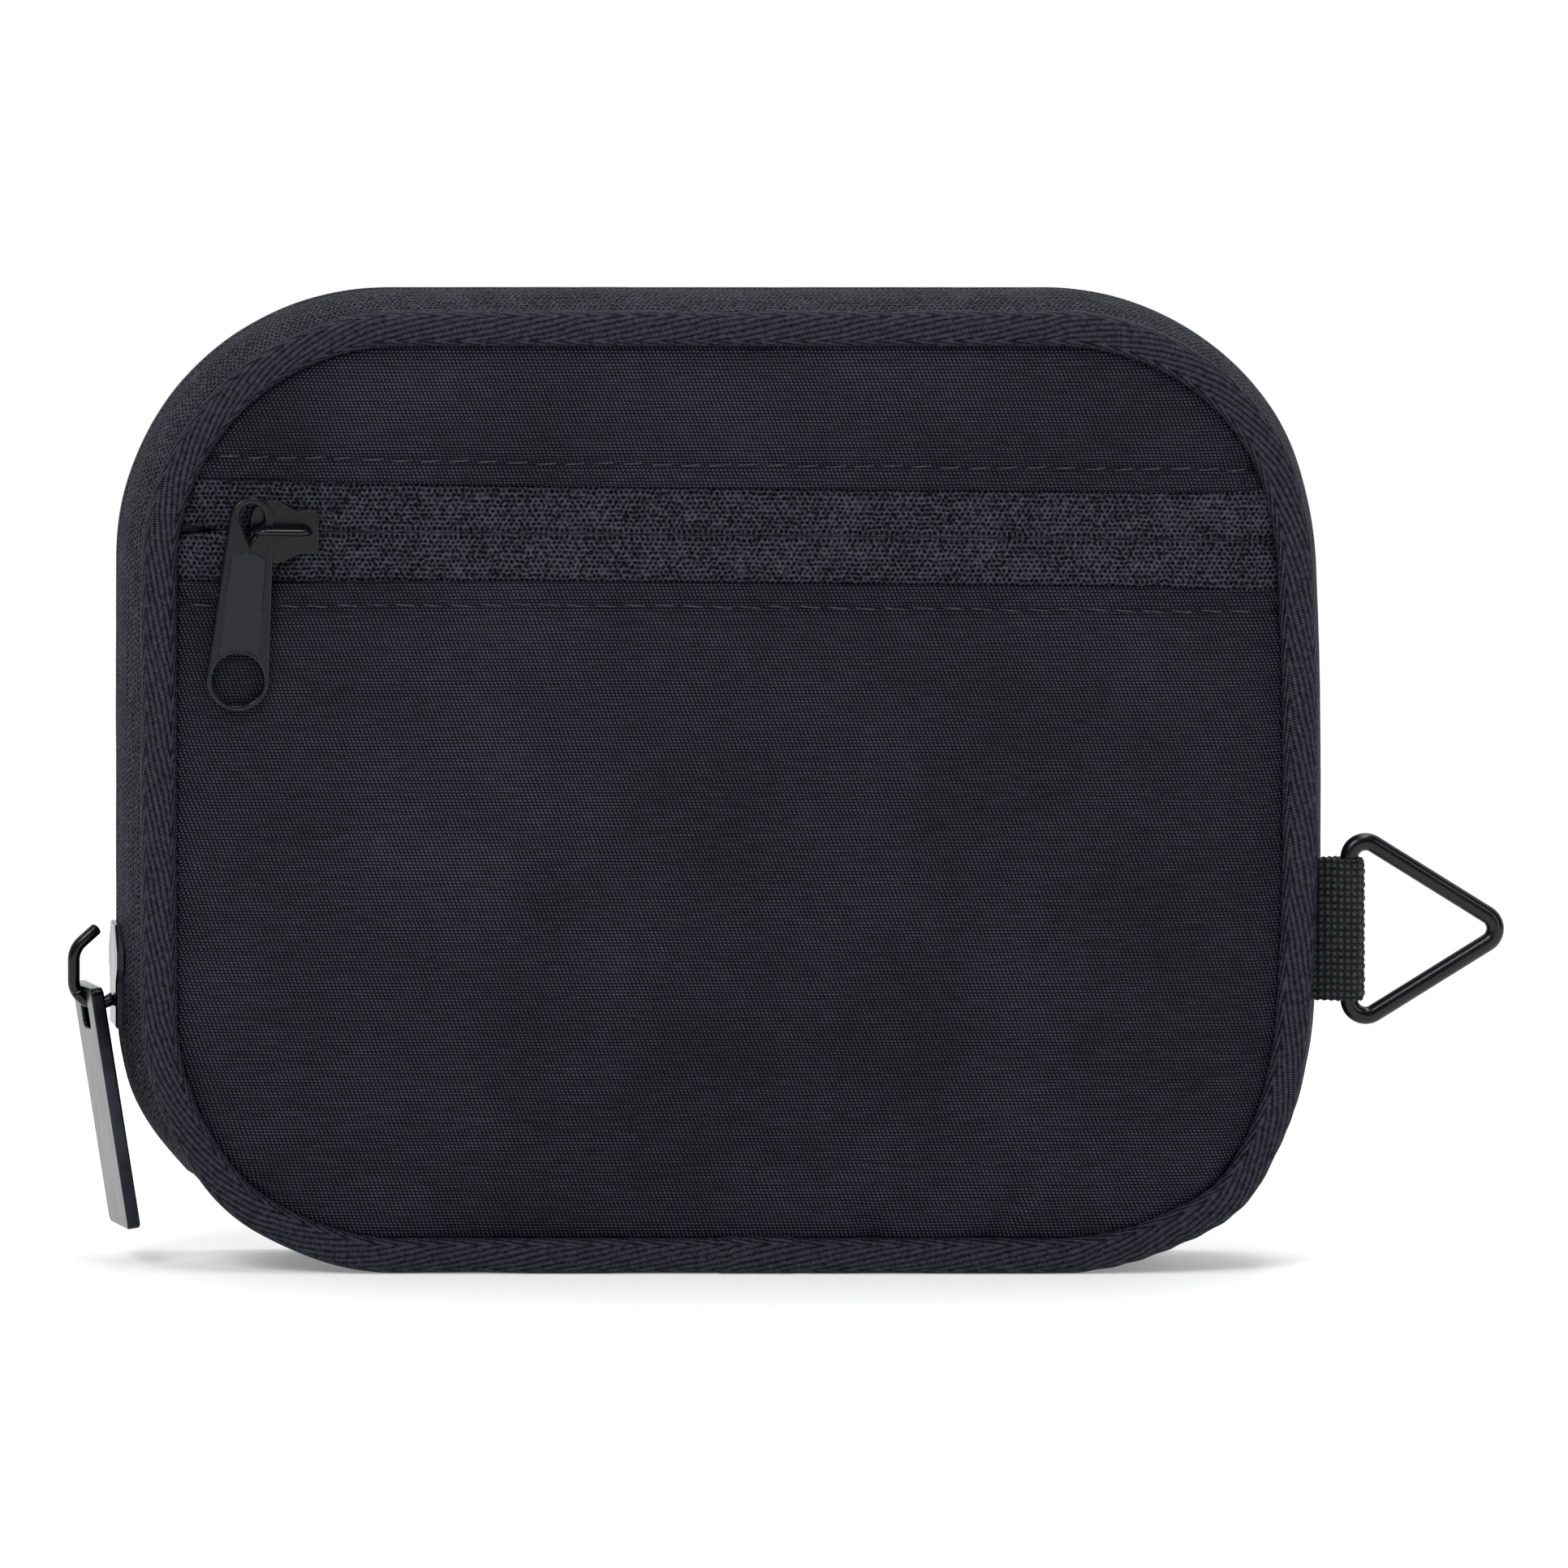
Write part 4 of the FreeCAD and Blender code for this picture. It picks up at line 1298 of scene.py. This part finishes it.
DISTANCE = 4.0  # metres from the pouch's front to the camera, along Y
FROM_LEFT, FROM_ABOVE = 8, 7  # degrees the camera looks from
FIELD = 0.2118  # metres across the picture at the pouch's front
DIM_FRONT = 0.10  # the backdrop is white; the room behind the camera is dark


def studio():
    """A pale floor under plain soft light, and the camera."""
    scene = bpy.context.scene
    floor = mesh_piece("floor", [(-3, -3, 0), (3, -3, 0), (3, 0.5, 0), (-3, 0.5, 0)], [(0, 1, 2, 3)])
    white = bpy.data.materials.new("floor")
    white.use_nodes = True
    sockets = white.node_tree.nodes["Principled BSDF"].inputs
    sockets["Base Color"].default_value = (0.93, 0.93, 0.93, 1)
    sockets["Roughness"].default_value = 0.7
    sockets["Emission Color"].default_value = (1, 1, 1, 1)
    sockets["Emission Strength"].default_value = 0.22
    floor.data.materials.append(white)

    world = bpy.data.worlds.new("studio")
    world.use_nodes = True
    tree = world.node_tree
    direction = tree.nodes.new("ShaderNodeTexCoord").outputs["Generated"]
    split = tree.nodes.new("ShaderNodeSeparateXYZ")
    shade = tree.nodes.new("ShaderNodeValToRGB")
    shade.color_ramp.elements[0].position = 0.0
    shade.color_ramp.elements[0].color = (DIM_FRONT, DIM_FRONT, DIM_FRONT, 1)
    shade.color_ramp.elements[1].position = 0.25
    shade.color_ramp.elements[1].color = (1, 1, 1, 1)
    tree.links.new(direction, split.inputs[0])
    tree.links.new(split.outputs[1], shade.inputs[0])
    tree.links.new(shade.outputs[0], tree.nodes["Background"].inputs["Color"])
    scene.world = world

    target = Vector((7.14, -13, 66.3)) * MM
    for name, place, wide, tall, power in (
        ("key", (-0.55, -0.75, 0.85), 0.5, 0.5, 7),
        ("top", (0.15, -0.05, 0.95), 0.9, 0.3, 5),
        ("side", (0.75, -0.65, 0.35), 0.2, 0.8, 2),
    ):
        light = bpy.data.lights.new(name, "AREA")
        light.shape = "RECTANGLE"
        light.size = wide
        light.size_y = tall
        light.energy = power
        lamp = bpy.data.objects.new(name, light)
        lamp.location = place
        lamp.rotation_euler = (target - lamp.location).to_track_quat("-Z", "Y").to_euler()
        scene.collection.objects.link(lamp)

    back = Vector((-math.tan(math.radians(FROM_LEFT)), -1, math.tan(math.radians(FROM_ABOVE))))
    place = target + back * DISTANCE
    lens = bpy.data.cameras.new("camera")
    lens.sensor_width = 36
    lens.lens = 36 * DISTANCE * back.length / FIELD
    lens.clip_end = 20
    camera = bpy.data.objects.new("camera", lens)
    stand = bpy.data.objects.new("camera_stand", None)
    camera.parent = stand
    # The picture plane stays parallel to the front while the view comes from above and to the left.
    aim = back.normalized()
    camera.matrix_parent_inverse = Matrix((
        (1, 0, aim.x, place.x),
        (0, 0, aim.y, place.y),
        (0, 1, aim.z, place.z),
        (0, 0, 0, 1),
    ))
    for held in (stand, camera):
        scene.collection.objects.link(held)
    scene.camera = camera
    scene.view_settings.view_transform = "Standard"


build_pouch()
studio()
